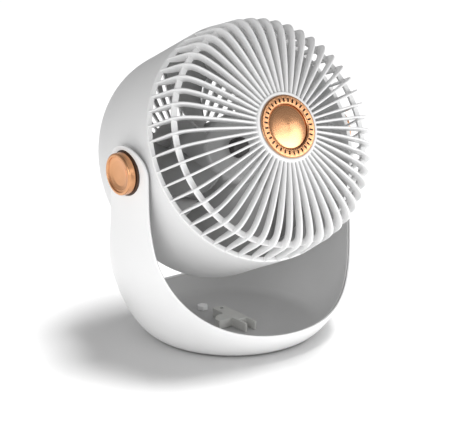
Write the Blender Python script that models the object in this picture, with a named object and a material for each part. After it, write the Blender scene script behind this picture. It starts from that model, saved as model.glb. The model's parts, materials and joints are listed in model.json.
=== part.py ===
"""Desk fan: a tilting drum head with a ribbed dome grille, held between the arms of a cup-shaped yoke.

Frame: metres, +Z up, origin at the centre of the feet's underside. The fan blows towards -Y and
left means -X. The head's own frame has its origin on the tilt axis: X as above, Y up the rim plane,
Z forwards along the fan's axis.
"""

import math

import bmesh
import bpy
from mathutils import Matrix, Vector

MM = 0.001

# ---- driving sizes, millimetres and degrees ----
GAP = 0.3                    # clearance between pieces that touch
RUNNING = 0.6                # clearance round pieces that turn or slide

PIVOT_Z = 148.4              # height of the tilt axis
HEAD_TILT = 26.7             # upward tilt of the head as it stands

ARM_GAP = 3.9                # drum to the liner, between the arms
CUP_STRAIGHT_Z = 91.3        # height where the cup's side starts to curve in
CUP_FOOT_R = 60.9            # outer radius where the cup meets its underside
CUP_CURVE = 1.76             # exponent of the cup's curve
SHELL_WALL = 1.6             # white outer yoke shell
LINER_WALL = 1.2             # grey inner liner
FOOT_HEIGHT = 1.2            # rubber feet below the yoke shell
TRAY_FLOOR_Z = 4.4           # top of the liner's floor
COVER_INSET = 8.3            # round cover that closes the underside, in from the cup's foot
COVER_THICK = 1.5
FOOT_R = 6.0                 # rubber feet
FOOT_SEAT = 0.8              # depth of the seats they are glued into
HOOK_TOP_Z = 12.0            # wall hook on the tray floor: height and plan
HOOK_LEFT_X = -7.0
HOOK_RIGHT_X = 4.6
HOOK_REAR_Y = 18.0
HOOK_WAIST_Y = -9.2
HOOK_FRONT_Y = -26.5
HOOK_WALL = 2.2
HOOK_HOLE_R = 1.9
STOP_R = 4.6                 # hexagonal stop beside the hook
STOP_PLACE = (-3.5, 36.0, 0.0)
ARM_HALF_WIDTH = 25.0        # arm, front to rear from its centre
ARM_RIM = 4.8                # arm left above the pivot cap
FLARE_BELOW_PIVOT = 20.0     # where the arms start to widen
FLARE_PAST_CUP = 2.0         # how far the elliptical cut between the arms runs past the cup
FLARE_FRONT_Z = 18.4         # lowest height of that cut, front and rear
FLARE_REAR_Z = 15.4

DRUM_FRONT_R = 95.0          # head shell radius at its front edge
DRUM_TAPER = 1.0             # how much smaller it is where the rear corner starts
DRUM_FRONT_U = 28.5          # front edge, ahead of the tilt axis
DRUM_CORNER_U = -31.0        # start of the rear corner
DRUM_CORNER_DEPTH = 34.5     # length of the rear corner
DRUM_CURVE = 4.5             # exponent of the rear corner
DRUM_WALL = 2.2
REAR_OPENING_INSET = 8.5     # rear opening, in from the drum; the rear grille fills it

RIM_STEP = 1.3               # dome grille: rim plane ahead of the shell
DOME_HEIGHT = 42.0           # rim plane to the flat of the ribs
DOME_LEAN = 5.5              # how far the ribs lean in over that height
DOME_CROWN = 5.0             # how much higher the middle of the dome stands
RIB_COUNT = 50
RIB_PHASE = 5.1              # angle of the first rib
RIB_THICK = 2.0
RIB_DEPTH = 8.0
FOOT_DEPTH = 3.6             # rib depth at its foot
RIB_STATIONS = (0.03, 0.5, 0.7, 0.81, 0.89, 0.95, 0.98)   # points of a rib, as shares of the height
HUB_R = 27.5                 # white hub ring of the dome grille
HUB_RISE = 0.4               # hub above the top of the ribs
RING_INSET = 3.0             # reinforcing ring, in from the outside of the ribs
RING_RISE = 24.8             # its mid plane above the rim plane
RING_WIDTH = 4.6
RING_THICK = 2.4

BADGE_LEDGE = 3.0            # hub left round the slotted copper ring
BADGE_RISE = 1.5             # badge above the hub
BADGE_SLOTS = 32
BADGE_SLOT_INSET = 4.0       # middle of the slots, in from the ring's edge
BADGE_SLOT_SIZE = (2.4, 1.1)
BADGE_RING_WIDTH = 7.3       # the domed copper disc fills the rest
BADGE_EDGE = 1.5             # how far the ring laps over its seat

REAR_SLOTS = 48
REAR_SLOT_WIDTH = 4.4
REAR_SLOT_MARGIN_IN = 6.0    # plain grille inside and outside the slots
REAR_SLOT_MARGIN_OUT = 5.5
REAR_HUB_MARGIN = 3.0        # flat middle of the rear grille, beyond the control housing

SHAFT_R = 2.0
BEARING_DEPTH = 3.0          # shaft to the tube that holds both bearings
MOTOR_TUBE_WALL = 1.5
BEARING_WIDTH = 4.0
STATOR_R = 21.5
MOTOR_TUBE_LENGTH = 40.0      # ahead of the rear grille's inner face, as are the next two starts
STATOR_START = 12.5
STATOR_LENGTH = 16.0
WINDING_HEIGHT = 4.0
MAGNET_WALL = 2.0
CAN_WALL = 1.4               # steel rotor can
FAN_HUB_WALL = 2.0
FAN_HUB_START = 6.5
FAN_HUB_LENGTH = 63.0
BLADE_COUNT = 5
BLADE_TIP_CLEARANCE = 5.0    # blade tip to the drum's inner wall
BLADE_SPAN = 58.0            # degrees that one blade covers
BLADE_RISE = 46.0            # blade height along the axis
BLADE_MID_U = -10.0           # middle of the blades, ahead of the tilt axis
BLADE_THICK = 1.8
BLADE_PHASE = 17.0

CAP_R = 33.0                 # control housing behind the motor
CAP_DEPTH = 9.6
CAP_WALL = 1.8
BUTTON_R = 7.0
BUTTON_TRAVEL = 1.2
BUTTON_PROUD = 1.0
LED_R = 1.5
LED_INSET = 10.0             # lamp, in from the ring of screws
SOCKET_SIZE = (9.0, 3.4)     # charging socket, width and height
SOCKET_INSET = 8.0           # socket, in from the ring of screws
BOARD_INSET = 4.5            # board's edge, in from the screws
BOARD_THICK = 1.6
SCREW_INSET = 6.0            # screws that hold the control housing, in from its edge
SCREW_HEAD_R = 2.4
SCREW_R = 1.2

KNOB_R = 16.2                # copper pivot caps
KNOB_PROUD = 7.2             # cap's face beyond the cup
BOSS_R = 14.0                # flat boss on the drum at the pivot
BOSS_PROUD = 1.2             # boss beyond the drum
WASHER_MARGIN = 4.0          # boss left round the friction washer
BOLT_R = 4.0
BOLT_HEAD_EDGE = 3.0         # bolt head beyond its shank
BUSH_WALL = 1.5

SEGMENTS = 48                # facets of the large turned pieces
KNOB_SEGMENTS = 24           # facets of the knobs, badge and button
SMALL_SEGMENTS = 16          # facets of the small turned pieces

SIDES = {"left": -1, "right": 1}


# ---- worked out from the driving sizes ----
CUP_R = DRUM_FRONT_R + ARM_GAP + LINER_WALL + GAP + SHELL_WALL      # outer radius at the arms
COVER_R = CUP_FOOT_R - COVER_INSET
ARM_TOP = KNOB_R + ARM_RIM
FLARE_TOP_Z = PIVOT_Z - FLARE_BELOW_PIVOT
FLARE_DEPTH = CUP_R - ARM_HALF_WIDTH + FLARE_PAST_CUP
DRUM_REAR_R = DRUM_FRONT_R - DRUM_TAPER
REAR_OPENING_R = DRUM_REAR_R - REAR_OPENING_INSET
DOME_BASE_U = DRUM_FRONT_U + RIM_STEP
DOME_TOP_U = DOME_BASE_U + DOME_HEIGHT + DOME_CROWN
HUB_TOP_U = DOME_TOP_U + HUB_RISE
BADGE_R = HUB_R - BADGE_LEDGE
BADGE_U = HUB_TOP_U + BADGE_RISE
BADGE_SEAT_R = BADGE_R - BADGE_EDGE
BADGE_DISC_R = BADGE_R - BADGE_RING_WIDTH
REAR_HUB_R = CAP_R + REAR_HUB_MARGIN
BEARING_BORE_R = SHAFT_R + BEARING_DEPTH
MOTOR_TUBE_R = BEARING_BORE_R + MOTOR_TUBE_WALL
SCREW_RING_R = CAP_R - SCREW_INSET
BOARD_R = SCREW_RING_R - BOARD_INSET
LED_V = SCREW_RING_R - LED_INSET
SOCKET_V = -(SCREW_RING_R - SOCKET_INSET)
KNOB_FACE_X = CUP_R + KNOB_PROUD
BOSS_X = DRUM_FRONT_R + BOSS_PROUD
WASHER_R = BOSS_R - WASHER_MARGIN
BOLT_HEAD_R = BOLT_R + BOLT_HEAD_EDGE


def cup_radius(z):
    """Outer radius of the yoke cup at a height."""
    if z >= CUP_STRAIGHT_Z:
        return CUP_R
    fall = (CUP_STRAIGHT_Z - z) / CUP_STRAIGHT_Z
    return CUP_FOOT_R + (CUP_R - CUP_FOOT_R) * (1.0 - fall ** CUP_CURVE) ** (1.0 / CUP_CURVE)


def dome_radius(rise):
    """Outer radius of the ribs at a share of the dome's height."""
    return (DRUM_FRONT_R - DOME_LEAN * rise) * (1.0 - rise ** 10) ** 0.25


def crown_u(radius):
    """How much lower the dome is at a radius than at its middle."""
    return DOME_CROWN * (radius / DRUM_FRONT_R) ** 2


def drum_u(radius):
    """Axial place of the drum's rear corner at a radius."""
    share = (1.0 - (radius / DRUM_REAR_R) ** DRUM_CURVE) ** (1.0 / DRUM_CURVE)
    return DRUM_CORNER_U - DRUM_CORNER_DEPTH * share


def blade_tip_radius():
    """Radius of the blade tips, inside the narrow end of the drum."""
    return DRUM_REAR_R - DRUM_WALL - BLADE_TIP_CLEARANCE


def spread(points, count):
    """The same curve with evenly spaced points."""
    steps = [math.dist(a, b) for a, b in zip(points, points[1:])]
    total = sum(steps)
    out = [points[0]]
    for index in range(1, count - 1):
        want = total * index / (count - 1)
        for step, a, b in zip(steps, points, points[1:]):
            if want <= step:
                out.append(tuple(p + (q - p) * want / step for p, q in zip(a, b)))
                break
            want -= step
    out.append(points[-1])
    return out


def curve_points(function, start, end, count, samples=400):
    """Evenly spaced points along function(value) for values from start to end."""
    dense = [function(start + (end - start) * i / samples) for i in range(samples + 1)]
    return spread(dense, count)


def offset_curve(points, distance):
    """The curve moved sideways, to the left of its direction; distance may be one value per point."""
    out = []
    for index, (r, z) in enumerate(points):
        before = points[max(index - 1, 0)]
        after = points[min(index + 1, len(points) - 1)]
        run = (after[0] - before[0], after[1] - before[1])
        length = math.hypot(*run)
        move = distance[index] if isinstance(distance, list) else distance
        out.append((r - run[1] / length * move, z + run[0] / length * move))
    return out


# ---- modelling helpers; every size given to them is in millimetres ----
def clear_scene():
    """Remove every object already in the file."""
    for old in list(bpy.data.objects):
        bpy.data.objects.remove(old, do_unlink=True)


def finish(name, colour, roughness, metallic=0.0):
    """A Principled material of one colour."""
    material = bpy.data.materials.get(name) or bpy.data.materials.new(name)
    material.use_nodes = True
    shader = material.node_tree.nodes["Principled BSDF"]
    shader.inputs["Base Color"].default_value = (*colour, 1.0)
    shader.inputs["Roughness"].default_value = roughness
    shader.inputs["Metallic"].default_value = metallic
    return material


def empty(name, location=(0, 0, 0), rotation=(0, 0, 0), parent=None):
    """A frame that pieces are parented to."""
    frame = bpy.data.objects.new(name, None)
    frame.location = [value * MM for value in location]
    frame.rotation_euler = rotation
    frame.parent = parent
    bpy.context.scene.collection.objects.link(frame)
    return frame


def piece(name, mesh_builder, material, parent=None, location=(0, 0, 0), rotation=(0, 0, 0)):
    """An object from a bmesh in millimetres, smooth except at real edges."""
    mesh_builder.normal_update()
    bmesh.ops.recalc_face_normals(mesh_builder, faces=mesh_builder.faces)
    bmesh.ops.scale(mesh_builder, vec=(MM, MM, MM), verts=mesh_builder.verts)
    mesh = bpy.data.meshes.new(name)
    mesh_builder.to_mesh(mesh)
    mesh_builder.free()
    mesh.shade_smooth()
    mesh.set_sharp_from_angle(angle=math.radians(32))
    thing = bpy.data.objects.new(name, mesh)
    thing.data.materials.append(material)
    thing.parent = parent
    thing.location = [value * MM for value in location]
    thing.rotation_euler = rotation
    bpy.context.scene.collection.objects.link(thing)
    return thing


def guide(thing):
    """Mark a cutter or a joined shape, which isn't a piece of its own."""
    thing.hide_render = True
    thing.display_type = "WIRE"
    return thing


def combine(target, other, operation):
    """Add an exact Boolean of the target with a guide object."""
    modifier = target.modifiers.new(operation.lower(), "BOOLEAN")
    modifier.operation = operation
    modifier.solver = "EXACT"
    modifier.object = guide(other)


def turned(outline, segments=SMALL_SEGMENTS, closed=True):
    """Turn an (r, z) outline about Z. An open outline starts and ends on the axis."""
    shape = bmesh.new()
    ring = [shape.verts.new((r, 0.0, z)) for r, z in outline]
    pairs = list(zip(ring, ring[1:]))
    if closed:
        pairs.append((ring[-1], ring[0]))
    edges = [shape.edges.new(pair) for pair in pairs]
    bmesh.ops.spin(shape, geom=ring + edges, cent=(0, 0, 0), axis=(0, 0, 1),
                   angle=2 * math.pi, steps=segments, use_merge=True)
    bmesh.ops.remove_doubles(shape, verts=shape.verts, dist=0.0005)
    return shape


def ring_outline(inner, outer, low, high):
    """The rectangular section of a plain ring."""
    return [(inner, low), (outer, low), (outer, high), (inner, high)]


def disc_outline(radius, low, high):
    """The open section of a plain disc."""
    return [(0.0, low), (radius, low), (radius, high), (0.0, high)]


def prism(outline, low, high, normal="Z"):
    """An outline extruded between two heights along X, Y or Z."""
    shape = bmesh.new()
    place = {"X": lambda a, b, h: (h, a, b), "Y": lambda a, b, h: (a, h, b), "Z": lambda a, b, h: (a, b, h)}
    base = shape.faces.new([shape.verts.new(place[normal](a, b, low)) for a, b in outline])
    grown = bmesh.ops.extrude_face_region(shape, geom=[base])
    top = [item for item in grown["geom"] if isinstance(item, bmesh.types.BMVert)]
    move = place[normal](0.0, 0.0, high - low)
    bmesh.ops.translate(shape, verts=top, vec=move)
    bmesh.ops.triangulate(shape, faces=[face for face in shape.faces if len(face.verts) > 4])
    return shape


def box_outline(centre, size):
    """A rectangle's corners from its centre and size."""
    (x, y), (w, h) = centre, size
    return [(x - w / 2, y - h / 2), (x + w / 2, y - h / 2), (x + w / 2, y + h / 2), (x - w / 2, y + h / 2)]


def arc_outline(centre, radius, start, end, steps):
    """Points of an arc, angles in degrees."""
    angles = [math.radians(start + (end - start) * i / steps) for i in range(steps + 1)]
    return [(centre[0] + radius * math.cos(a), centre[1] + radius * math.sin(a)) for a in angles]


def place_copy(target, source, matrix):
    """Add a moved copy of one bmesh to another."""
    copy = source.copy()
    bmesh.ops.transform(copy, matrix=matrix, verts=copy.verts)
    mesh = bpy.data.meshes.new("copy")
    copy.to_mesh(mesh)
    copy.free()
    target.from_mesh(mesh)
    bpy.data.meshes.remove(mesh)


def repeated(source, matrices):
    """Copies of a bmesh, one for each matrix; the source is freed."""
    shape = bmesh.new()
    for matrix in matrices:
        place_copy(shape, source, matrix)
    source.free()
    return shape


def turns(count, phase=0.0):
    """Rotations about Z that share a full turn."""
    return [Matrix.Rotation(math.radians(phase) + 2 * math.pi * i / count, 4, "Z") for i in range(count)]


def side_rotation(side):
    """Rotation that lays local Z outwards along X on one side."""
    return (0.0, side * math.pi / 2, 0.0)


# ---- materials ----
def materials():
    """Every finish of the fan."""
    return {
        "white": finish("white_plastic", (0.83, 0.83, 0.83), 0.38),
        "shell": finish("shell_plastic", (0.78, 0.78, 0.78), 0.42),
        "grey": finish("grey_plastic", (0.30, 0.30, 0.30), 0.50),
        "blade": finish("blade_plastic", (0.27, 0.27, 0.27), 0.45),
        "dark": finish("dark_plastic", (0.05, 0.05, 0.05), 0.55),
        "rubber": finish("rubber", (0.08, 0.08, 0.08), 0.80),
        "copper": finish("copper", (0.72, 0.40, 0.25), 0.28, 1.0),
        "steel": finish("steel", (0.60, 0.60, 0.62), 0.35, 1.0),
        "winding": finish("winding", (0.60, 0.26, 0.12), 0.40, 1.0),
        "magnet": finish("magnet", (0.12, 0.12, 0.13), 0.60),
        "board": finish("board", (0.04, 0.22, 0.10), 0.50),
        "lens": finish("lens", (0.75, 0.85, 0.80), 0.15),
        "nylon": finish("nylon", (0.75, 0.74, 0.70), 0.55),
    }


# ---- yoke and base ----
def arm_flare(bottom):
    """One side edge of an arm as it widens into the cup down to a height, as (y, z) from top to bottom."""
    drop = FLARE_TOP_Z - bottom
    reach = CUP_R + 10.0
    share = min((reach - ARM_HALF_WIDTH) / FLARE_DEPTH, 0.97)
    end = math.sqrt(1.0 - (1.0 - share) ** 2)
    edge = curve_points(
        lambda s: (ARM_HALF_WIDTH + FLARE_DEPTH * (1.0 - math.sqrt(1.0 - s * s)), FLARE_TOP_Z - drop * s),
        0.0, end, 14)
    return edge + [(reach, edge[-1][1]), (reach, -10.0)]


def yoke_side_outline():
    """The yoke seen from the side, as (y, z): arms with round ends that flare into the cup."""
    top = [(-ARM_HALF_WIDTH * math.cos(a), PIVOT_Z + ARM_TOP * math.sin(a))
           for a in (math.pi * i / 16 for i in range(17))]
    front = [(-y, z) for y, z in arm_flare(FLARE_FRONT_Z)]
    return front[::-1] + top + arm_flare(FLARE_REAR_Z)


def cup_wall(inset, low, top, count=8):
    """Points up the cup's side, set in from its outer form."""
    side = curve_points(lambda z: (cup_radius(z) - inset, z), low, CUP_STRAIGHT_Z, count)
    return side + [(CUP_R - inset, top)]


def seat_radius():
    """Radius of the dark seat under each pivot cap."""
    return KNOB_R + 1.2


def knob_seat_x():
    """Place of the flat seat cut into each arm for its pivot cap."""
    return math.sqrt(CUP_R ** 2 - seat_radius() ** 2) - 0.3


def build_yoke(finishes):
    """White outer shell and grey liner, both cut to the same arms."""
    top = PIVOT_Z + ARM_TOP + 5.0
    frame_top = top + 5.0
    opening = COVER_R + GAP
    floor_top = FOOT_HEIGHT + SHELL_WALL
    bowl = ([(opening, FOOT_HEIGHT)] + cup_wall(0.0, FOOT_HEIGHT, top)
            + cup_wall(SHELL_WALL, floor_top, top)[::-1] + [(opening, floor_top)])
    shell = piece("yoke_shell", turned(bowl, SEGMENTS), finishes["white"])
    inset = SHELL_WALL + GAP
    floor_low = TRAY_FLOOR_Z - LINER_WALL
    tray = ([(0.0, floor_low)] + cup_wall(inset, floor_low, top)
            + cup_wall(inset + LINER_WALL, TRAY_FLOOR_Z, top)[::-1] + [(0.0, TRAY_FLOOR_Z)])
    liner = piece("yoke_liner", turned(tray, SEGMENTS, closed=False), finishes["grey"])
    side_view = yoke_side_outline()
    for part in (shell, liner):
        cutter = piece(part.name + "_outline", prism(side_view, -frame_top, frame_top, "X"), finishes["dark"])
        combine(part, cutter, "INTERSECT")
    seat_cut = bmesh.new()
    for side in SIDES.values():
        seat = turned(disc_outline(seat_radius() + GAP, knob_seat_x(), KNOB_FACE_X + 5.0), KNOB_SEGMENTS)
        outward = Matrix.Translation((0, 0, PIVOT_Z)) @ Matrix.Rotation(side * math.pi / 2, 4, "Y")
        place_copy(seat_cut, seat, outward)
        seat.free()
    combine(shell, piece("seat_recess", seat_cut, finishes["dark"]), "DIFFERENCE")
    for part in (shell, liner):
        bore = turned(disc_outline(BOLT_R + GAP, -frame_top, frame_top))
        bmesh.ops.transform(bore, matrix=Matrix.Rotation(math.pi / 2, 4, "Y"), verts=bore.verts)
        cutter = piece(part.name + "_bore", bore, finishes["dark"], location=(0, 0, PIVOT_Z))
        combine(part, cutter, "DIFFERENCE")


def build_base_cover(finishes):
    """Snap-in cover under the yoke, with four rubber feet glued into seats."""
    low = FOOT_HEIGHT
    disc = turned(disc_outline(COVER_R, low, low + COVER_THICK), SEGMENTS)
    cover = piece("base_cover", disc, finishes["white"])
    foot_ring = COVER_R - FOOT_R - 3.0
    spots = [matrix @ Matrix.Translation((foot_ring, 0, 0)) for matrix in turns(4, 45.0)]
    seats = repeated(turned(disc_outline(FOOT_R + GAP, low - 2.0, low + FOOT_SEAT)), spots)
    combine(cover, piece("foot_seats", seats, finishes["dark"]), "DIFFERENCE")
    for index, spot in enumerate(spots):
        foot = turned(disc_outline(FOOT_R, 0.0, low + FOOT_SEAT - GAP))
        piece(f"foot_{index + 1}", foot, finishes["rubber"], location=tuple(spot @ Vector((0, 0, 0))))


def build_hook(finishes):
    """Wall hook on the tray floor, with its side lobe, hole and slotted end, and the stop beside it."""
    low = TRAY_FLOOR_Z + GAP
    lobe = arc_outline((HOOK_LEFT_X - 7.0, HOOK_WAIST_Y + 6.0), 6.0, 90.0, 180.0, 5)
    plan = ([(HOOK_RIGHT_X, HOOK_FRONT_Y), (HOOK_RIGHT_X, HOOK_REAR_Y), (HOOK_LEFT_X, HOOK_REAR_Y),
             (HOOK_LEFT_X, HOOK_WAIST_Y + 12.0)] + lobe
            + [(HOOK_LEFT_X - 13.0, HOOK_WAIST_Y), (HOOK_LEFT_X, HOOK_WAIST_Y), (HOOK_LEFT_X, HOOK_FRONT_Y)])
    plate = piece("wall_hook", prism(plan[::-1], low, HOOK_TOP_Z), finishes["grey"])
    slot_x = (HOOK_LEFT_X + HOOK_WALL, HOOK_RIGHT_X - HOOK_WALL)
    slot_y = (HOOK_FRONT_Y - 2.0, HOOK_WAIST_Y - 6.0)
    centre = (sum(slot_x) / 2, sum(slot_y) / 2)
    size = (slot_x[1] - slot_x[0], slot_y[1] - slot_y[0])
    slot = prism(box_outline(centre, size), low - 1.0, HOOK_TOP_Z + 1.0)
    combine(plate, piece("hook_slot", slot, finishes["dark"]), "DIFFERENCE")
    hole = turned(disc_outline(HOOK_HOLE_R, low - 1.0, HOOK_TOP_Z + 1.0))
    place = ((HOOK_LEFT_X + HOOK_RIGHT_X) / 2, HOOK_REAR_Y - 2.5 * HOOK_HOLE_R, 0)
    combine(plate, piece("hook_hole", hole, finishes["dark"], location=place), "DIFFERENCE")
    stop = [(0.0, low), (STOP_R, low), (STOP_R, low + 2.6), (STOP_R - 1.0, low + 3.6), (0.0, low + 3.6)]
    piece("hook_stop", turned(stop, 6, closed=False), finishes["white"], location=STOP_PLACE)


def build_pivots(finishes):
    """Pivot caps, their dark seats, bolts and friction washers, all held by the arms."""
    seat_r = seat_radius()
    seat_x = knob_seat_x() + GAP
    seat_top = seat_x + 1.6
    knob_x = seat_top + GAP
    bolt_end = blade_tip_radius() + 2.0
    inner_x = CUP_R - SHELL_WALL - GAP - LINER_WALL
    washer_top = math.sqrt(inner_x ** 2 - WASHER_R ** 2) - GAP
    for name, side in SIDES.items():
        frame = empty(f"pivot_{name}", (0, 0, PIVOT_Z), side_rotation(side))
        seat = ring_outline(BOLT_HEAD_R + 1.0, seat_r, seat_x, seat_top)
        piece(f"cap_seat_{name}", turned(seat, KNOB_SEGMENTS), finishes["dark"], frame)
        face = KNOB_FACE_X
        rim = KNOB_R
        dish = [(0.0, knob_x), (rim - 0.6, knob_x), (rim, knob_x + 0.8), (rim, face - 1.4),
                (rim - 0.5, face - 0.4), (rim - 1.4, face), (rim - 2.4, face - 0.3), (rim - 2.8, face - 1.1),
                (rim - 3.8, face - 1.3), (rim - 6.5, face - 2.0), (rim - 10.0, face - 2.5), (0.0, face - 2.6)]
        piece(f"pivot_cap_{name}", turned(dish, KNOB_SEGMENTS, closed=False), finishes["copper"], frame)
        bolt = [(0.0, bolt_end), (BOLT_R, bolt_end), (BOLT_R, seat_x), (BOLT_HEAD_R, seat_x),
                (BOLT_HEAD_R, seat_top), (0.0, seat_top)]
        piece(f"pivot_bolt_{name}", turned(bolt, closed=False), finishes["steel"], frame)
        washer = ring_outline(BOLT_R + GAP, WASHER_R, BOSS_X + GAP, washer_top)
        piece(f"friction_washer_{name}", turned(washer), finishes["nylon"], frame)


# ---- head ----
def build_shell(head, finishes):
    """Drum shell with a flat pivot boss on each side and a bush in each boss."""
    front = (DRUM_FRONT_R, DRUM_FRONT_U)
    corner = curve_points(lambda r: (r, drum_u(r)), DRUM_REAR_R - 0.001, REAR_OPENING_R + GAP, 6)
    outer = [front, (DRUM_REAR_R, DRUM_CORNER_U)] + corner[1:]
    inner = offset_curve(outer, -DRUM_WALL)
    inner[0] = (front[0] - DRUM_WALL, front[1])
    inner[-1] = (outer[-1][0], outer[-1][1] + 1.4 * DRUM_WALL)
    shell = piece("rear_shell", turned(outer + inner[::-1], SEGMENTS), finishes["shell"], head)
    bush_r = BOLT_R + RUNNING + BUSH_WALL
    boss_in = blade_tip_radius() + 1.8
    for name, side in SIDES.items():
        boss = turned(disc_outline(BOSS_R, boss_in, BOSS_X), KNOB_SEGMENTS)
        combine(shell, piece(f"boss_{name}", boss, finishes["shell"], head, rotation=side_rotation(side)),
                "UNION")
    for name, side in SIDES.items():
        bore = turned(disc_outline(bush_r + GAP, boss_in - 5.0, BOSS_X + 5.0))
        combine(shell, piece(f"boss_bore_{name}", bore, finishes["dark"], head, rotation=side_rotation(side)),
                "DIFFERENCE")
        bush = ring_outline(BOLT_R + RUNNING, bush_r, boss_in + GAP, BOSS_X - GAP)
        piece(f"pivot_bush_{name}", turned(bush), finishes["nylon"], head, rotation=side_rotation(side))


def rib_outline():
    """One rib seen from the side, as (r, u)."""
    outer = [(dome_radius(share), DOME_TOP_U - DOME_HEIGHT * (1.0 - share) - crown_u(dome_radius(share)))
             for share in RIB_STATIONS]
    outer.append((HUB_R - 4.0, DOME_TOP_U - crown_u(HUB_R - 4.0)))
    depths = [FOOT_DEPTH + (RIB_DEPTH - FOOT_DEPTH) * min(1.0, i) for i in range(len(outer))]
    inner = offset_curve(outer, depths)
    inner[-1] = (outer[-1][0], inner[-2][1])
    return outer + inner[::-1]


def build_front_grille(head, finishes):
    """Dome grille: ribs, hub, reinforcing ring and rim as one moulding."""
    rim_in = DRUM_FRONT_R - DRUM_WALL - 2 * GAP
    skirt_r = rim_in - 2.0
    rim_top = DOME_BASE_U + 1.6
    rim = [(skirt_r, DRUM_FRONT_U - 5.0), (rim_in, DRUM_FRONT_U - 5.0), (rim_in, DRUM_FRONT_U + GAP),
           (DRUM_FRONT_R, DRUM_FRONT_U + GAP), (DRUM_FRONT_R, rim_top), (skirt_r, rim_top)]
    grille = piece("front_grille", turned(rim, SEGMENTS), finishes["white"], head)
    rib = prism(rib_outline(), -RIB_THICK / 2, RIB_THICK / 2, "Y")
    ribs = repeated(rib, turns(RIB_COUNT, RIB_PHASE))
    combine(grille, piece("ribs", ribs, finishes["white"], head), "UNION")
    ring_r = dome_radius(RING_RISE / DOME_HEIGHT) - RING_INSET
    ring_low = DOME_BASE_U + RING_RISE - RING_THICK / 2
    ring = ring_outline(ring_r - RING_WIDTH, ring_r, ring_low, ring_low + RING_THICK)
    combine(grille, piece("ring", turned(ring, RIB_COUNT), finishes["white"], head), "UNION")
    hub_low = DOME_TOP_U - RIB_DEPTH - 1.0
    seat_r = BADGE_SEAT_R
    hub = [(0.0, hub_low), (HUB_R, hub_low), (HUB_R, HUB_TOP_U - 1.5), (HUB_R - 1.5, HUB_TOP_U),
           (seat_r + GAP, HUB_TOP_U), (seat_r + GAP, HUB_TOP_U - 2.0), (0.0, HUB_TOP_U - 2.0)]
    combine(grille, piece("hub", turned(hub, SEGMENTS, closed=False), finishes["white"], head), "UNION")


def build_badge(head, finishes):
    """Slotted copper ring round a domed copper disc, seated in the dome grille's hub."""
    seat_u = HUB_TOP_U - 2.0 + GAP
    seat_r = BADGE_SEAT_R
    inner = BADGE_DISC_R + GAP
    ring = [(inner, seat_u), (seat_r, seat_u), (seat_r, HUB_TOP_U + GAP), (BADGE_R, HUB_TOP_U + GAP),
            (BADGE_R, BADGE_U - 0.9), (BADGE_R - 0.9, BADGE_U), (inner + 0.7, BADGE_U),
            (inner, BADGE_U - 0.7)]
    badge = piece("badge_ring", turned(ring, BADGE_SLOTS), finishes["copper"], head)
    slot_plan = box_outline((BADGE_R - BADGE_SLOT_INSET, 0.0), BADGE_SLOT_SIZE)
    slot = prism(slot_plan, BADGE_U - 1.2, BADGE_U + 1.0)
    slots = repeated(slot, turns(BADGE_SLOTS, 180.0 / BADGE_SLOTS))
    combine(badge, piece("badge_slots", slots, finishes["dark"], head), "DIFFERENCE")
    disc_top = BADGE_U - 0.1
    dome = [(BADGE_DISC_R * math.cos(a), disc_top - 1.6 + 1.6 * math.sin(a))
            for a in (math.pi / 2 * i / 4 for i in range(5))]
    outline = [(0.0, seat_u), (BADGE_DISC_R, seat_u)] + dome[:-1] + [(0.0, disc_top)]
    piece("badge_disc", turned(outline, KNOB_SEGMENTS, closed=False), finishes["copper"], head)


def rear_face_u():
    """Rear face of the rear grille's flat middle."""
    return drum_u(REAR_HUB_R)


def motor_u(distance):
    """Axial place at a distance ahead of the rear grille's inner face."""
    return rear_face_u() + DRUM_WALL + distance


def rear_dish_u(radius):
    """Outer face of the rear grille at a radius; its middle is flat."""
    return drum_u(max(radius, REAR_HUB_R))


def build_rear_grille(head, finishes):
    """Slotted rear grille with the motor's bearing tube on its flat middle."""
    edge_r = REAR_OPENING_R
    slot_in, slot_out = REAR_HUB_R + REAR_SLOT_MARGIN_IN, REAR_OPENING_R - REAR_SLOT_MARGIN_OUT
    outer = [(r, rear_dish_u(r)) for r in (edge_r, slot_out + 1.0, REAR_HUB_R)]
    inner = [(r, u + DRUM_WALL) for r, u in outer]
    tube_end = motor_u(MOTOR_TUBE_LENGTH)
    face = rear_face_u()
    outline = ([(BEARING_BORE_R, face)] + outer[::-1] + inner
               + [(MOTOR_TUBE_R, face + DRUM_WALL), (MOTOR_TUBE_R, tube_end), (BEARING_BORE_R, tube_end)])
    grille = piece("rear_grille", turned(outline, SEGMENTS), finishes["shell"], head)
    low = face - 5.0
    high = rear_dish_u(edge_r) + DRUM_WALL + 5.0
    slot_size = (slot_out - slot_in, REAR_SLOT_WIDTH)
    slot = prism(box_outline(((slot_in + slot_out) / 2, 0.0), slot_size), low, high)
    slots = repeated(slot, turns(REAR_SLOTS, 180.0 / REAR_SLOTS))
    combine(grille, piece("rear_slots", slots, finishes["dark"], head), "DIFFERENCE")


def build_motor(head, finishes):
    """Stator, windings and bearings on the bearing tube."""
    core_in = MOTOR_TUBE_R + GAP
    low, high = motor_u(STATOR_START), motor_u(STATOR_START + STATOR_LENGTH)
    piece("stator_core", turned(ring_outline(core_in, STATOR_R, low, high)), finishes["steel"], head)
    for name, start in (("rear", low - GAP - WINDING_HEIGHT), ("front", high + GAP)):
        outline = ring_outline(core_in + 2.5, STATOR_R - 1.5, start, start + WINDING_HEIGHT)
        piece(f"winding_{name}", turned(outline), finishes["winding"], head)
    bore = BEARING_BORE_R - GAP
    for name, start in (("rear", motor_u(1.5)), ("front", motor_u(MOTOR_TUBE_LENGTH - 0.5) - BEARING_WIDTH)):
        outline = ring_outline(SHAFT_R + GAP, bore, start, start + BEARING_WIDTH)
        piece(f"bearing_{name}", turned(outline), finishes["steel"], head)


def can_radius():
    """Outer radius of the rotor can, from the stator outwards."""
    return STATOR_R + RUNNING + MAGNET_WALL + GAP + CAN_WALL


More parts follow.
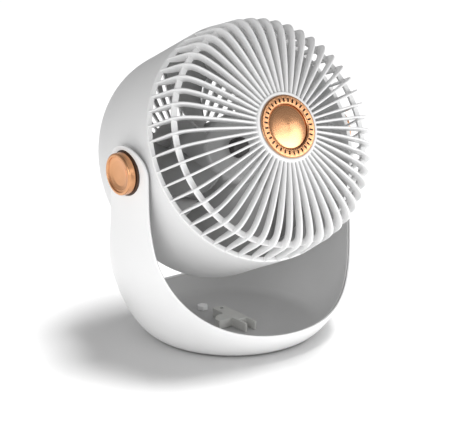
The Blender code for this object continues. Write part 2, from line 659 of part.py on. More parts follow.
def build_impeller(spin, finishes):
    """Shaft, steel can with its magnet, bladed hub and the nut in front."""
    can_r = can_radius()
    can_low, can_top = motor_u(FAN_HUB_START + 2.0), motor_u(MOTOR_TUBE_LENGTH + 3.0)
    can_in = can_r - CAN_WALL
    can = [(can_in, can_low), (can_r, can_low), (can_r, can_top), (SHAFT_R + GAP, can_top),
           (SHAFT_R + GAP, can_top - CAN_WALL), (can_in, can_top - CAN_WALL)]
    piece("rotor_can", turned(can), finishes["steel"], spin)
    magnet = ring_outline(can_in - GAP - MAGNET_WALL, can_in - GAP, motor_u(STATOR_START),
                          motor_u(STATOR_START + STATOR_LENGTH))
    piece("rotor_magnet", turned(magnet), finishes["magnet"], spin)
    hub_low, hub_top = motor_u(FAN_HUB_START), motor_u(FAN_HUB_START + FAN_HUB_LENGTH)
    hub_in = can_r + GAP
    hub_r = hub_in + FAN_HUB_WALL
    shaft_top = hub_top + 6.0
    piece("motor_shaft", turned(disc_outline(SHAFT_R, motor_u(1.0), shaft_top)), finishes["steel"], spin)
    web_low = can_top + GAP
    hub = [(hub_in, hub_low), (hub_r, hub_low), (hub_r, hub_top - 6.0), (hub_r - 1.8, hub_top - 1.8),
           (hub_r - 6.0, hub_top), (SHAFT_R + GAP, hub_top), (SHAFT_R + GAP, hub_top - FAN_HUB_WALL),
           (hub_r - 7.0, hub_top - FAN_HUB_WALL), (hub_in - 3.0, hub_top - 6.5), (hub_in - 3.0, web_low),
           (hub_in, web_low)]
    impeller = piece("impeller", turned(hub, KNOB_SEGMENTS), finishes["blade"], spin)
    blades = repeated(blade_mesh(hub_r - FAN_HUB_WALL / 2), turns(BLADE_COUNT, BLADE_PHASE))
    combine(impeller, piece("blades", blades, finishes["blade"], spin), "UNION")
    nut = [(0.0, shaft_top + 3.5), (5.0, shaft_top + 3.0), (8.0, shaft_top + 0.5), (8.0, hub_top + GAP),
           (SHAFT_R + GAP, hub_top + GAP), (SHAFT_R + GAP, shaft_top + GAP), (0.0, shaft_top + GAP)]
    piece("impeller_nut", turned(nut, 24, closed=False), finishes["dark"], spin)


def blade_mesh(root_r):
    """One broad twisted blade as a closed thin body."""
    tip_r = blade_tip_radius()
    across, along = 4, 8
    shape = bmesh.new()
    faces = []
    for offset in (BLADE_THICK / 2, -BLADE_THICK / 2):
        grid = []
        for j in range(along + 1):
            share = j / along
            end = tip_r - (tip_r - root_r) * 0.28 * abs(2 * share - 1) ** 5
            row = []
            for i in range(across + 1):
                radius = root_r + (end - root_r) * i / across
                angle = math.radians(BLADE_SPAN * share - 16.0 * (i / across) ** 2)
                twist = 0.72 + 0.28 * i / across
                u = BLADE_MID_U + BLADE_RISE * (share - 0.5) * twist + offset
                row.append(shape.verts.new((radius * math.cos(angle), radius * math.sin(angle), u)))
            grid.append(row)
        faces.append(grid)
    top, low = faces
    for j in range(along):
        for i in range(across):
            shape.faces.new((top[j][i], top[j][i + 1], top[j + 1][i + 1], top[j + 1][i]))
            shape.faces.new((low[j][i], low[j + 1][i], low[j + 1][i + 1], low[j][i + 1]))
    edge_top = ([row[0] for row in top] + top[-1][1:] + [row[-1] for row in top[-2::-1]] + top[0][-2:0:-1])
    edge_low = ([row[0] for row in low] + low[-1][1:] + [row[-1] for row in low[-2::-1]] + low[0][-2:0:-1])
    for index in range(len(edge_top)):
        after = (index + 1) % len(edge_top)
        shape.faces.new((edge_top[index], edge_top[after], edge_low[after], edge_low[index]))
    return shape


def build_controls(head, finishes):
    """Control housing behind the motor: board, switch, push button, lamp and charging socket."""
    near = rear_face_u() - GAP
    far = near - CAP_DEPTH
    cap = [(CAP_R - CAP_WALL, near), (CAP_R, near), (CAP_R, far + 4.0), (CAP_R - 1.2, far + 1.2),
           (CAP_R - 4.0, far),
           (BUTTON_R + RUNNING, far), (BUTTON_R + RUNNING, far + CAP_WALL), (CAP_R - 4.5, far + CAP_WALL),
           (CAP_R - CAP_WALL, far + 4.4)]
    housing = piece("control_housing", turned(cap, KNOB_SEGMENTS), finishes["white"], head)
    window = prism(box_outline((0.0, SOCKET_V), (SOCKET_SIZE[0] + 2 * GAP, SOCKET_SIZE[1] + 2 * GAP)),
                   far - 3.0, far + CAP_WALL + 1.0)
    combine(housing, piece("socket_window", window, finishes["dark"], head), "DIFFERENCE")
    spots = [matrix @ Matrix.Translation((SCREW_RING_R, 0, 0)) for matrix in turns(3, 90.0)]
    holes = repeated(turned(disc_outline(SCREW_HEAD_R + GAP, far - 3.0, far + CAP_WALL + 1.0)), spots)
    combine(housing, piece("screw_holes", holes, finishes["dark"], head), "DIFFERENCE")
    for index, spot in enumerate(spots):
        screw = [(0.0, far + 0.3), (SCREW_HEAD_R, far + 0.3), (SCREW_HEAD_R, far + CAP_WALL),
                 (SCREW_R, far + CAP_WALL), (SCREW_R, near), (0.0, near)]
        piece(f"housing_screw_{index + 1}", turned(screw, closed=False), finishes["steel"], head,
              location=tuple(spot @ Vector((0, 0, 0))))
    lamp_hole = turned(disc_outline(LED_R + GAP, far - 3.0, far + CAP_WALL + 1.0), 16)
    combine(housing, piece("lamp_hole", lamp_hole, finishes["dark"], head, location=(0, LED_V, 0)),
            "DIFFERENCE")
    board_top = near - 0.2
    board_low = board_top - BOARD_THICK
    board = turned(disc_outline(BOARD_R, board_low, board_top), KNOB_SEGMENTS)
    piece("circuit_board", board, finishes["board"], head)
    on_board = board_low - GAP
    flange_near = far + CAP_WALL + GAP + 1.0
    piece("tact_switch", prism(box_outline((0, 0), (6.0, 6.0)), flange_near + BUTTON_TRAVEL + GAP, on_board),
          finishes["dark"], head)
    lens = turned(disc_outline(LED_R, far - 0.2, on_board), 16)
    piece("status_lens", lens, finishes["lens"], head, location=(0, LED_V, 0))
    socket = piece("charging_socket", prism(box_outline((0, SOCKET_V), SOCKET_SIZE), far + 0.1, on_board),
                   finishes["steel"], head)
    mouth_size = (SOCKET_SIZE[0] - 1.0, SOCKET_SIZE[1] - 1.0)
    mouth = prism(box_outline((0, SOCKET_V), mouth_size), far - 2.0, on_board - 2.5)
    combine(socket, piece("socket_mouth", mouth, finishes["dark"], head), "DIFFERENCE")
    face = far - BUTTON_PROUD
    dish = [(0.0, face + 0.5), (BUTTON_R - 2.0, face + 0.3), (BUTTON_R - 0.8, face),
            (BUTTON_R, face + 0.8), (BUTTON_R, flange_near - 1.0), (BUTTON_R + 1.8, flange_near - 1.0),
            (BUTTON_R + 1.8, flange_near), (0.0, flange_near)]
    piece("power_button", turned(dish, KNOB_SEGMENTS, closed=False), finishes["copper"], head)


def build_head(finishes):
    """The tilting head and, inside it, the parts that spin."""
    head = empty("head_frame", (0, 0, PIVOT_Z), (math.pi / 2 - math.radians(HEAD_TILT), 0, 0))
    spin = empty("spin_frame", parent=head)
    build_shell(head, finishes)
    build_front_grille(head, finishes)
    build_badge(head, finishes)
    build_rear_grille(head, finishes)
    build_motor(head, finishes)
    build_impeller(spin, finishes)
    build_controls(head, finishes)


def build():
    """Model the whole fan."""
    clear_scene()
    finishes = materials()
    build_yoke(finishes)
    build_base_cover(finishes)
    build_hook(finishes)
    build_pivots(finishes)
    build_head(finishes)
    bpy.context.view_layer.update()


build()
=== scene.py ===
"""Tilting desk fan: fine surfaces, finishes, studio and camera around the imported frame.

Sizes in the classes are millimetres and degrees. The yoke is built in the fan's own frame, +Z up with
the fan facing -Y. The head is built in its own frame: X across, Y up the rim plane, Z along the
fan's axis, with its origin on the tilt axis.
"""
import json
import logging
import math
from collections.abc import Callable, Iterable, Sequence
from dataclasses import dataclass, field
from enum import Enum
from typing import ClassVar

import bmesh
import bpy
from bmesh.types import BMesh
from mathutils import Matrix, Vector


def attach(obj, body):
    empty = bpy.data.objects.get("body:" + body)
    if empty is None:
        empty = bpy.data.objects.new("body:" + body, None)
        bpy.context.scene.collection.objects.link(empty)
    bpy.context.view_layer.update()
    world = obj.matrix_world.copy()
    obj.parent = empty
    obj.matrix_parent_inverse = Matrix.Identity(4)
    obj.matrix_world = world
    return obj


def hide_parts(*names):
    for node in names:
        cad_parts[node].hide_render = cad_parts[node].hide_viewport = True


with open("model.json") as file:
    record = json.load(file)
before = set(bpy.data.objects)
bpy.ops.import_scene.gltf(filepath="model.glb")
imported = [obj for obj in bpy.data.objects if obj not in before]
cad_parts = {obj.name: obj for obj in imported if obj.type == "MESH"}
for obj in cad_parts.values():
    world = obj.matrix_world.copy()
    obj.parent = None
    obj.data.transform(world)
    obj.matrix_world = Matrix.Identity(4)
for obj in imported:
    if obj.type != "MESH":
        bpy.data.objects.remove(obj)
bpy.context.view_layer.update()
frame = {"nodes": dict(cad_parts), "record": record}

log = logging.getLogger("desk_fan")
MM = 0.001
Point = tuple[float, float]
Profile = list[Point]
IDENTITY = Matrix.Identity(4)
SIDES = {"left": -1, "right": 1}
ROUNDING_SHARE = 0.48
MITRE_LIMIT = 0.4
WELD = 0.004
SMOOTH_CORNERS = 8
CREASE = 38.0
RIB_CREASE = 50.0
ROUND_CREASE = 60.0


class Body(Enum):
    """The bodies that move on their own."""

    BASE = "base"
    HEAD = "head"
    ROTOR = "rotor"
    BUTTON = "button"


class Lit(Enum):
    """What a studio light falls on."""

    FLOOR = "INCLUDE"
    FAN = "EXCLUDE"


class Join(Enum):
    """Ways to combine two closed shapes."""

    ADD = "UNION"
    CUT = "DIFFERENCE"


class Facets(Enum):
    """Facets round a turned piece."""

    LARGE = 240
    MEDIUM = 128
    SMALL = 64
    TINY = 32


def linked(name: str, data: bpy.types.ID) -> bpy.types.Object:
    """Put a mesh, light or camera in the scene.

    Args:
        name: the object's name.
        data: what it holds.

    Returns:
        The object.
    """
    holder = bpy.data.objects.new(name, data)
    bpy.context.scene.collection.objects.link(holder)
    return holder


# ---- shapes ----
def softened(corners: Sequence[tuple[float, ...]], steps: int = 4, closed: bool = True) -> Profile:
    """Round the corners of an outline.

    Args:
        corners: points as (a, b), or (a, b, radius) where the corner is rounded.
        steps: segments of each rounded corner.
        closed: whether the last point joins the first.

    Returns:
        The outline as plain points.
    """
    count = len(corners)
    outline: Profile = []
    for index, corner in enumerate(corners):
        here = Vector(corner[:2])
        inside = closed or 0 < index < count - 1
        if len(corner) < 3 or not inside:
            outline.append((here.x, here.y))
            continue
        before = Vector(corners[index - 1][:2]) - here
        after = Vector(corners[(index + 1) % count][:2]) - here
        half = before.angle(after) / 2
        room = ROUNDING_SHARE * min(before.length, after.length)
        reach = min(corner[2] / max(math.tan(half), 1e-3), room)
        start, end = here + before.normalized() * reach, here + after.normalized() * reach
        for step in range(steps + 1):
            t = step / steps
            spot = start * (1 - t) ** 2 + here * 2 * t * (1 - t) + end * t * t
            outline.append((spot.x, spot.y))
    return outline


def turned(profile: Sequence[Point], facets: Facets, closed: bool = True) -> BMesh:
    """Turn a profile of (radius, height) about Z.

    Args:
        profile: points of the profile.
        facets: facets round the axis.
        closed: whether the profile is a loop; if not, its ends lie on the axis.

    Returns:
        The closed shape.
    """
    shape = bmesh.new()
    count = facets.value
    rings = []
    for radius, height in profile:
        if radius < 1e-6:
            rings.append([shape.verts.new((0.0, 0.0, height))] * count)
            continue
        angles = (2 * math.pi * i / count for i in range(count))
        rings.append([shape.verts.new((radius * math.cos(a), radius * math.sin(a), height)) for a in angles])
    pairs = list(zip(rings, rings[1:]))
    if closed:
        pairs.append((rings[-1], rings[0]))
    for low, high in pairs:
        for i in range(count):
            j = (i + 1) % count
            corners = list(dict.fromkeys((low[i], low[j], high[j], high[i])))
            if len(corners) > 2:
                shape.faces.new(corners)
    bmesh.ops.recalc_face_normals(shape, faces=shape.faces)
    return shape


def lathed(corners: Sequence[tuple[float, ...]], facets: Facets, steps: int, closed: bool = True) -> BMesh:
    """Round the corners of a profile of (radius, height) and turn it about Z."""
    return turned(softened(corners, steps, closed), facets, closed)


def lofted(sections: Sequence[Sequence[Vector]]) -> BMesh:
    """Skin a row of closed sections and cap both ends.

    Args:
        sections: loops of points, all with the same count.

    Returns:
        The closed shape.
    """
    shape = bmesh.new()
    loops = [[shape.verts.new(point) for point in section] for section in sections]
    count = len(loops[0])
    for near, far in zip(loops, loops[1:]):
        for i in range(count):
            j = (i + 1) % count
            shape.faces.new((near[i], near[j], far[j], far[i]))
    shape.faces.new(loops[0][::-1])
    shape.faces.new(loops[-1])
    bmesh.ops.recalc_face_normals(shape, faces=shape.faces)
    return shape


def slab(outline: Sequence[Point], low: float, high: float, edge: float = 0.0) -> BMesh:
    """Raise an outline of (x, y) along Z, with its top edge rounded.

    Args:
        outline: points round the slab.
        low: height of its underside.
        high: height of its top.
        edge: radius of the top edge.

    Returns:
        The closed shape.
    """
    spots = [Vector(point) for point in outline]
    count = len(spots)
    area = sum(spots[i - 1].x * spots[i].y - spots[i].x * spots[i - 1].y for i in range(count))
    turn = 1.0 if area > 0 else -1.0
    inward = []
    for i in range(count):
        before = (spots[i] - spots[i - 1]).normalized()
        after = (spots[(i + 1) % count] - spots[i]).normalized()
        mean = before + after
        normal = Vector((-mean.y, mean.x)).normalized() * turn
        inward.append(normal / max(normal.dot(Vector((-before.y, before.x)) * turn), MITRE_LIMIT))
    levels = [(0.0, low), (0.0, high - edge)]
    if edge > 0:
        quarter = (math.pi * i / 8 for i in range(1, 5))
        levels += [(edge * (1 - math.cos(a)), high - edge + edge * math.sin(a)) for a in quarter]
    return lofted([[(spot + push * inset).to_3d() + Vector((0, 0, height))
                    for spot, push in zip(spots, inward)] for inset, height in levels])


def box_outline(centre: Point, size: Point, radius: float = 0.0) -> Profile:
    """Outline a rectangle with rounded corners.

    Args:
        centre: its middle.
        size: its width and height.
        radius: radius of its corners, or 0 for sharp ones.

    Returns:
        The points round it.
    """
    (x, y), (w, h) = centre, (size[0] / 2, size[1] / 2)
    corners = [(x - w, y - h), (x + w, y - h), (x + w, y + h), (x - w, y + h)]
    return softened([(*corner, radius) for corner in corners], 5) if radius else corners


def tongue_outline(start: float, end: float, half: float, radius: float, steps: int) -> Profile:
    """A rounded slot along X from start to end, as points."""
    corners = ((start, -half), (end, -half), (end, half), (start, half))
    return softened([(*corner, radius) for corner in corners], steps)


def disc(radius: float, low: float, high: float, facets: Facets) -> BMesh:
    """A plain disc, used as a tool for holes and seats."""
    return turned([(0.0, low), (radius, low), (radius, high), (0.0, high)], facets, closed=False)


def merged(shapes: Iterable[BMesh], places: Iterable[Matrix]) -> BMesh:
    """Gather shapes into one, each at its own place.

    Args:
        shapes: the shapes; each is freed.
        places: one matrix for each shape.

    Returns:
        One shape that holds them all.
    """
    whole = bmesh.new()
    for shape, place in zip(shapes, places):
        mesh = bpy.data.meshes.new("part_of_whole")
        shape.to_mesh(mesh)
        shape.free()
        mesh.transform(place)
        if place.determinant() < 0:
            mesh.flip_normals()
        whole.from_mesh(mesh)
        bpy.data.meshes.remove(mesh)
    return whole


def repeated(make: Callable[[], BMesh], places: Sequence[Matrix]) -> BMesh:
    """Copies of one shape at each place."""
    return merged((make() for _ in places), places)


def turns(count: int, start: float = 0.0) -> list[Matrix]:
    """Equal turns about Z from a starting angle in degrees."""
    return [Matrix.Rotation(math.radians(start + 360.0 * i / count), 4, "Z") for i in range(count)]


def combined(shape: BMesh, tool: BMesh, join: Join) -> BMesh:
    """Add a shape to another or cut it away.

    Args:
        shape: the shape that is kept; it is freed.
        tool: the shape that is added or cut away; it is freed.
        join: which of the two.

    Returns:
        The new shape.
    """
    parts = []
    for index, source in enumerate((shape, tool)):
        mesh = bpy.data.meshes.new(f"join_{index}")
        source.to_mesh(mesh)
        source.free()
        parts.append(linked(mesh.name, mesh))
    modifier = parts[0].modifiers.new("join", "BOOLEAN")
    modifier.solver = "EXACT"
    modifier.operation = join.value
    modifier.object = parts[1]
    depsgraph = bpy.context.evaluated_depsgraph_get()
    result = bpy.data.meshes.new_from_object(parts[0].evaluated_get(depsgraph))
    whole = bmesh.new()
    whole.from_mesh(result)
    for mesh in (result, *(holder.data for holder in parts)):
        bpy.data.meshes.remove(mesh)
    return whole


def outward(side: int) -> Matrix:
    """Matrix whose Z points out of the fan on one side."""
    return Matrix.Rotation(side * math.pi / 2, 4, "Y")


# ---- finishes ----
class Nodes:
    """A material's node tree, with short ways to add and wire its nodes."""

    def __init__(self, name: str) -> None:
        """Start a material with its Principled shader.

        Args:
            name: the material's name.
        """
        self.material = bpy.data.materials.new(name)
        self.material.use_nodes = True
        self.tree = self.material.node_tree
        self.shader = self.tree.nodes["Principled BSDF"]

    def add(self, kind: str, inputs: dict | None = None, **options) -> bpy.types.Node:
        """Add a node.

        Args:
            kind: the node's type.
            inputs: values or output sockets for its inputs, by name or number.
            options: properties of the node itself.

        Returns:
            The node.
        """
        node = self.tree.nodes.new(kind)
        for key, value in options.items():
            setattr(node, key, value)
        for key, value in (inputs or {}).items():
            if isinstance(value, bpy.types.NodeSocket):
                self.tree.links.new(value, node.inputs[key])
            else:
                node.inputs[key].default_value = value
        return node

    def place(self) -> bpy.types.NodeSocket:
        """Coordinates in the piece's own frame, in metres."""
        return self.add("ShaderNodeTexCoord").outputs["Object"]

    def noise(self, scale: float, detail: float = 2.0,
              at: bpy.types.NodeSocket | None = None) -> bpy.types.NodeSocket:
        """Noise with features about one over scale metres across."""
        inputs = {"Vector": at or self.place(), "Scale": scale, "Detail": detail}
        return self.add("ShaderNodeTexNoise", inputs).outputs["Fac"]

    def cells(self, scale: float, **options: str) -> bpy.types.NodeSocket:
        """Distance within cells about one over scale metres across."""
        inputs = {"Vector": self.place(), "Scale": scale}
        return self.add("ShaderNodeTexVoronoi", inputs, **options).outputs["Distance"]

    def spread(self, value: bpy.types.NodeSocket, low: float, high: float) -> bpy.types.NodeSocket:
        """Spread a noise value over a range."""
        inputs = {"Value": value, "From Min": 0.3, "From Max": 0.7, "To Min": low, "To Max": high}
        return self.add("ShaderNodeMapRange", inputs).outputs["Result"]

    def between(self, share: bpy.types.NodeSocket, first: Sequence[float], second: Sequence[float]) -> None:
        """Colour the shader between two colours.

        Args:
            share: output that says how much of the second colour shows.
            first: colour at 0.
            second: colour at 1.
        """
        mix = self.add("ShaderNodeMix", data_type="RGBA")
        colours = [socket for socket in mix.inputs if socket.type == "RGBA"]
        colours[0].default_value, colours[1].default_value = (*first, 1.0), (*second, 1.0)
        self.tree.links.new(share, mix.inputs[0])
        result = next(socket for socket in mix.outputs if socket.type == "RGBA")
        self.tree.links.new(result, self.shader.inputs["Base Color"])

    def set(self, **values: float) -> None:
        """Set plain values on the shader, by its input names with _ for a space."""
        for key, value in values.items():
            self.shader.inputs[key.replace("_", " ")].default_value = value

    def wire(self, source: bpy.types.NodeSocket, name: str) -> None:
        """Wire an output to one of the shader's inputs."""
        self.tree.links.new(source, self.shader.inputs[name])

    def relief(self, height: bpy.types.NodeSocket, strength: float, depth: float) -> None:
        """Raise the surface by a height value, in metres at its highest."""
        bump = self.add("ShaderNodeBump", {"Height": height, "Strength": strength, "Distance": depth})
        self.wire(bump.outputs["Normal"], "Normal")


def shaded(colour: Sequence[float], share: float) -> tuple[float, ...]:
    """A colour made lighter or darker by a share."""
    return tuple(min(1.0, channel * share) for channel in colour)


@dataclass(frozen=True)
class Finish:
    """A material of the fan; each kind dresses its own nodes."""

    slot: str
    colour: tuple[float, float, float]
    roughness: float
    follows_axis: ClassVar[bool] = False

    def build(self, name: str) -> bpy.types.Material:
        """Make the material.

        Args:
            name: the material's name.

        Returns:
            The material.
        """
        nodes = Nodes(name)
        nodes.set(Roughness=self.roughness)
        self.dress(nodes)
        return nodes.material

    def dress(self, nodes: Nodes) -> None:
        """Wire the finish; each kind has its own."""
        raise NotImplementedError


@dataclass(frozen=True)
class MouldedPlastic(Finish):
    """Injection-moulded plastic: faint flow marks, uneven sheen and a fine spark-eroded grain."""

    grain: float = 1500.0
    grain_depth: float = 0.00004
    gloss: float = 0.0
    mottle: float = 0.02

    def dress(self, nodes: Nodes) -> None:
        """Wire flow marks to colour, sheen to roughness and grain to relief.

        Args:
            nodes: the material's node tree.
        """
        flow = nodes.noise(26.0, 3.0)
        nodes.between(flow, shaded(self.colour, 1 - self.mottle), shaded(self.colour, 1 + self.mottle))
        sheen = nodes.noise(70.0, 2.0)
        nodes.wire(nodes.spread(sheen, self.roughness - 0.035, self.roughness + 0.035), "Roughness")
        nodes.relief(nodes.noise(self.grain, 1.0), 0.35, self.grain_depth)
        nodes.set(IOR=1.48, Coat_Weight=self.gloss, Coat_Roughness=0.16)


@dataclass(frozen=True)
class SpunMetal(Finish):
    """Metal turned about the piece's own axis: fine rings of varied depth and sheen."""

    pitch: float = 5200.0
    grooves: float = 0.00001
    follows_axis: ClassVar[bool] = True

    def dress(self, nodes: Nodes) -> None:
        """Wire rings about Z to relief, roughness and tone.

        Args:
            nodes: the material's node tree.
        """
        axes = nodes.add("ShaderNodeSeparateXYZ", {0: nodes.place()})
        flat = nodes.add("ShaderNodeCombineXYZ", {0: axes.outputs[0], 1: axes.outputs[1]})
        radius = nodes.add("ShaderNodeVectorMath", {0: flat.outputs[0]}, operation="LENGTH").outputs["Value"]
        ring, broad = (nodes.add("ShaderNodeTexNoise", {"W": radius, "Scale": scale, "Detail": detail},
                                 noise_dimensions="1D").outputs["Fac"]
                       for scale, detail in ((self.pitch, 3.0), (self.pitch / 9, 2.0)))
        nodes.between(broad, shaded(self.colour, 0.9), shaded(self.colour, 1.08))
        nodes.wire(nodes.spread(ring, self.roughness - 0.06, self.roughness + 0.06), "Roughness")
        nodes.relief(ring, 0.2, self.grooves)
        tangent = nodes.add("ShaderNodeTangent", direction_type="RADIAL", axis="Z")
        nodes.wire(tangent.outputs[0], "Tangent")
        nodes.set(Metallic=1.0, Anisotropic=0.55)


@dataclass(frozen=True)
class PlainMetal(Finish):
    """Ground steel: short scratches and uneven sheen."""

    def dress(self, nodes: Nodes) -> None:
        """Wire stretched noise to roughness and relief.

        Args:
            nodes: the material's node tree.
        """
        stretch = nodes.add("ShaderNodeMapping", {"Vector": nodes.place(), "Scale": (60.0, 60.0, 1500.0)})
        scratch = nodes.noise(1.0, 3.0, stretch.outputs[0])
        nodes.between(nodes.noise(90.0), shaded(self.colour, 0.92), shaded(self.colour, 1.05))
        nodes.wire(nodes.spread(scratch, self.roughness - 0.08, self.roughness + 0.08), "Roughness")
        nodes.relief(scratch, 0.3, 0.00001)
        nodes.set(Metallic=1.0)


@dataclass(frozen=True)
class WoundWire(Finish):
    """Enamelled wire laid in close turns, with painted shade in the grooves and painted highlight on the
    turns.
    """

    turn: float = 1900.0

    def dress(self, nodes: Nodes) -> None:
        """Wire bands to relief, and to tone: darker in the grooves between turns as painted shade and lighter
        on the turns' crowns as painted highlight.

        Args:
            nodes: the material's node tree.
        """
        inputs = {"Vector": nodes.place(), "Scale": self.turn / math.tau, "Distortion": 1.2, "Detail": 1.0}
        wave = nodes.add("ShaderNodeTexWave", inputs, bands_direction="DIAGONAL").outputs["Fac"]
        # Tone follows the bands' height: dark grooves are painted shade, light crowns are painted highlight.
        nodes.between(wave, shaded(self.colour, 0.45), shaded(self.colour, 1.1))
        nodes.relief(wave, 0.9, 0.0003)
        nodes.set(Metallic=0.85, Coat_Weight=0.5, Coat_Roughness=0.12)


@dataclass(frozen=True)
class MouldedRubber(Finish):
    """Soft rubber with a stippled skin and a dusty bloom."""

    def dress(self, nodes: Nodes) -> None:
        """Wire cells to relief and bloom to colour.

        Args:
            nodes: the material's node tree.
        """
        cells = nodes.cells(1800.0)
        nodes.between(nodes.noise(120.0, 4.0), self.colour, shaded(self.colour, 1.5))
        nodes.relief(cells, 0.5, 0.00008)
        nodes.set(Sheen_Weight=0.15)


@dataclass(frozen=True)
class Laminate(Finish):
    """Circuit board under a green lacquer, with darker lands between its tracks."""

    def dress(self, nodes: Nodes) -> None:
        """Wire blocky cells to colour and relief.

        Args:
            nodes: the material's node tree.
        """
        cells = nodes.cells(420.0, distance="MANHATTAN")
        nodes.between(cells, shaded(self.colour, 0.6), shaded(self.colour, 1.5))
        nodes.relief(cells, 0.4, 0.00005)
        nodes.set(Coat_Weight=0.7, Coat_Roughness=0.08)


@dataclass(frozen=True)
class ClearPlastic(Finish):
    """Clear lens with faint internal haze."""

    def dress(self, nodes: Nodes) -> None:
        """Wire haze to roughness over a clear body.

        Args:
            nodes: the material's node tree.
        """
        nodes.between(nodes.noise(400.0), self.colour, shaded(self.colour, 1.05))
        nodes.wire(nodes.spread(nodes.noise(900.0), self.roughness, self.roughness + 0.06), "Roughness")
        nodes.set(Transmission_Weight=0.7, IOR=1.49)


FINISHES: dict[str, Finish] = {
    "white": MouldedPlastic("white_plastic", (0.86, 0.86, 0.86), 0.34, gloss=0.25),
    "shell": MouldedPlastic("shell_plastic", (0.78, 0.78, 0.78), 0.44),
    # Liner grey is painted shade: the inside of the white cup is coloured darker to stand for the shade that
    # falls in it.
    "grey": MouldedPlastic("grey_plastic", (0.54, 0.54, 0.54), 0.5),
    "hook_grey": MouldedPlastic("grey_plastic", (0.56, 0.56, 0.54), 0.5),
    "blade": MouldedPlastic("blade_plastic", (0.36, 0.36, 0.36), 0.38, gloss=0.15),
    "dark": MouldedPlastic("dark_plastic", (0.045, 0.043, 0.042), 0.5),
    "nylon": MouldedPlastic("nylon", (0.75, 0.74, 0.70), 0.5),
    "magnet": MouldedPlastic("magnet", (0.12, 0.12, 0.13), 0.6, grain=2600.0),
    "rubber": MouldedRubber("rubber", (0.06, 0.06, 0.06), 0.8),
    "copper": SpunMetal("copper", (0.72, 0.37, 0.19), 0.24),
    # Dark bronze is painted shade: the seats under the pivot caps and the pockets of the badge's slots are
    # coloured dark to stand for the shade in those gaps.
    "painted_shade_bronze": MouldedPlastic("dark_plastic", (0.06, 0.028, 0.014), 0.45),
    "steel": PlainMetal("steel", (0.60, 0.60, 0.62), 0.35),
    "winding": WoundWire("winding", (0.60, 0.26, 0.12), 0.35),
    "board": Laminate("board", (0.03, 0.2, 0.08), 0.4),
    "lens": ClearPlastic("lens", (0.8, 0.88, 0.84), 0.08),
}
DRESSED = {
    "steel": ("stator_core", "bearing_front", "bearing_rear", "rotor_can", "motor_shaft",
              "pivot_bolt_left", "pivot_bolt_right"),
    "winding": ("winding_front", "winding_rear"),
    "magnet": ("rotor_magnet",),
    "board": ("circuit_board",),
    "dark": ("tact_switch",),
    "nylon": ("pivot_bush_left", "pivot_bush_right", "friction_washer_left", "friction_washer_right"),
}


class Workshop:
    """Keeps the finishes and turns shapes into pieces that ride on a body."""

    def __init__(self) -> None:
        """Build every finish once."""
        self.materials = {name: finish.build(name) for name, finish in FINISHES.items()}

    def piece(self, name: str, shape: BMesh, finish: str, body: Body, node: str,
              place: Matrix = IDENTITY, crease: float = CREASE) -> bpy.types.Object:
        """Make a piece from a shape.

        Args:
            name: the piece's name.
            shape: its shape in millimetres, in its own frame; it is freed.
            finish: name of its finish.
            body: the body that it rides on.
            node: the solid of the frame that it stands for.
            place: where its frame lies, in metres.
            crease: edges sharper than this many degrees stay crisp.

        Returns:
            The piece.
        """
        bmesh.ops.scale(shape, vec=(MM, MM, MM), verts=shape.verts)
        if not FINISHES[finish].follows_axis:
            bmesh.ops.transform(shape, matrix=place.to_3x3().to_4x4(), verts=shape.verts)
            place = Matrix.Translation(place.translation)
        mesh = bpy.data.meshes.new(name)
        shape.to_mesh(mesh)
        shape.free()
        mesh.shade_smooth()
        mesh.set_sharp_from_angle(angle=math.radians(crease))
        for face in mesh.polygons:
            face.use_smooth = len(face.vertices) <= SMOOTH_CORNERS
        mesh.materials.append(self.materials[finish])
        made = linked(name, mesh)
        made.matrix_world = place
        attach(made, body.value)
        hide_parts(node)
        log.info("%s: %d faces on %s", name, len(mesh.polygons), body.value)
        return made

    def dress(self, finish: str, *nodes: str) -> None:
        """Give solids of the frame a finish.

        Args:
            finish: name of the finish.
            nodes: names of the solids that stay as they are.
        """
        for name in nodes:
            mesh = frame["nodes"][name].data
            mesh.materials.clear()
            mesh.materials.append(self.materials[finish])


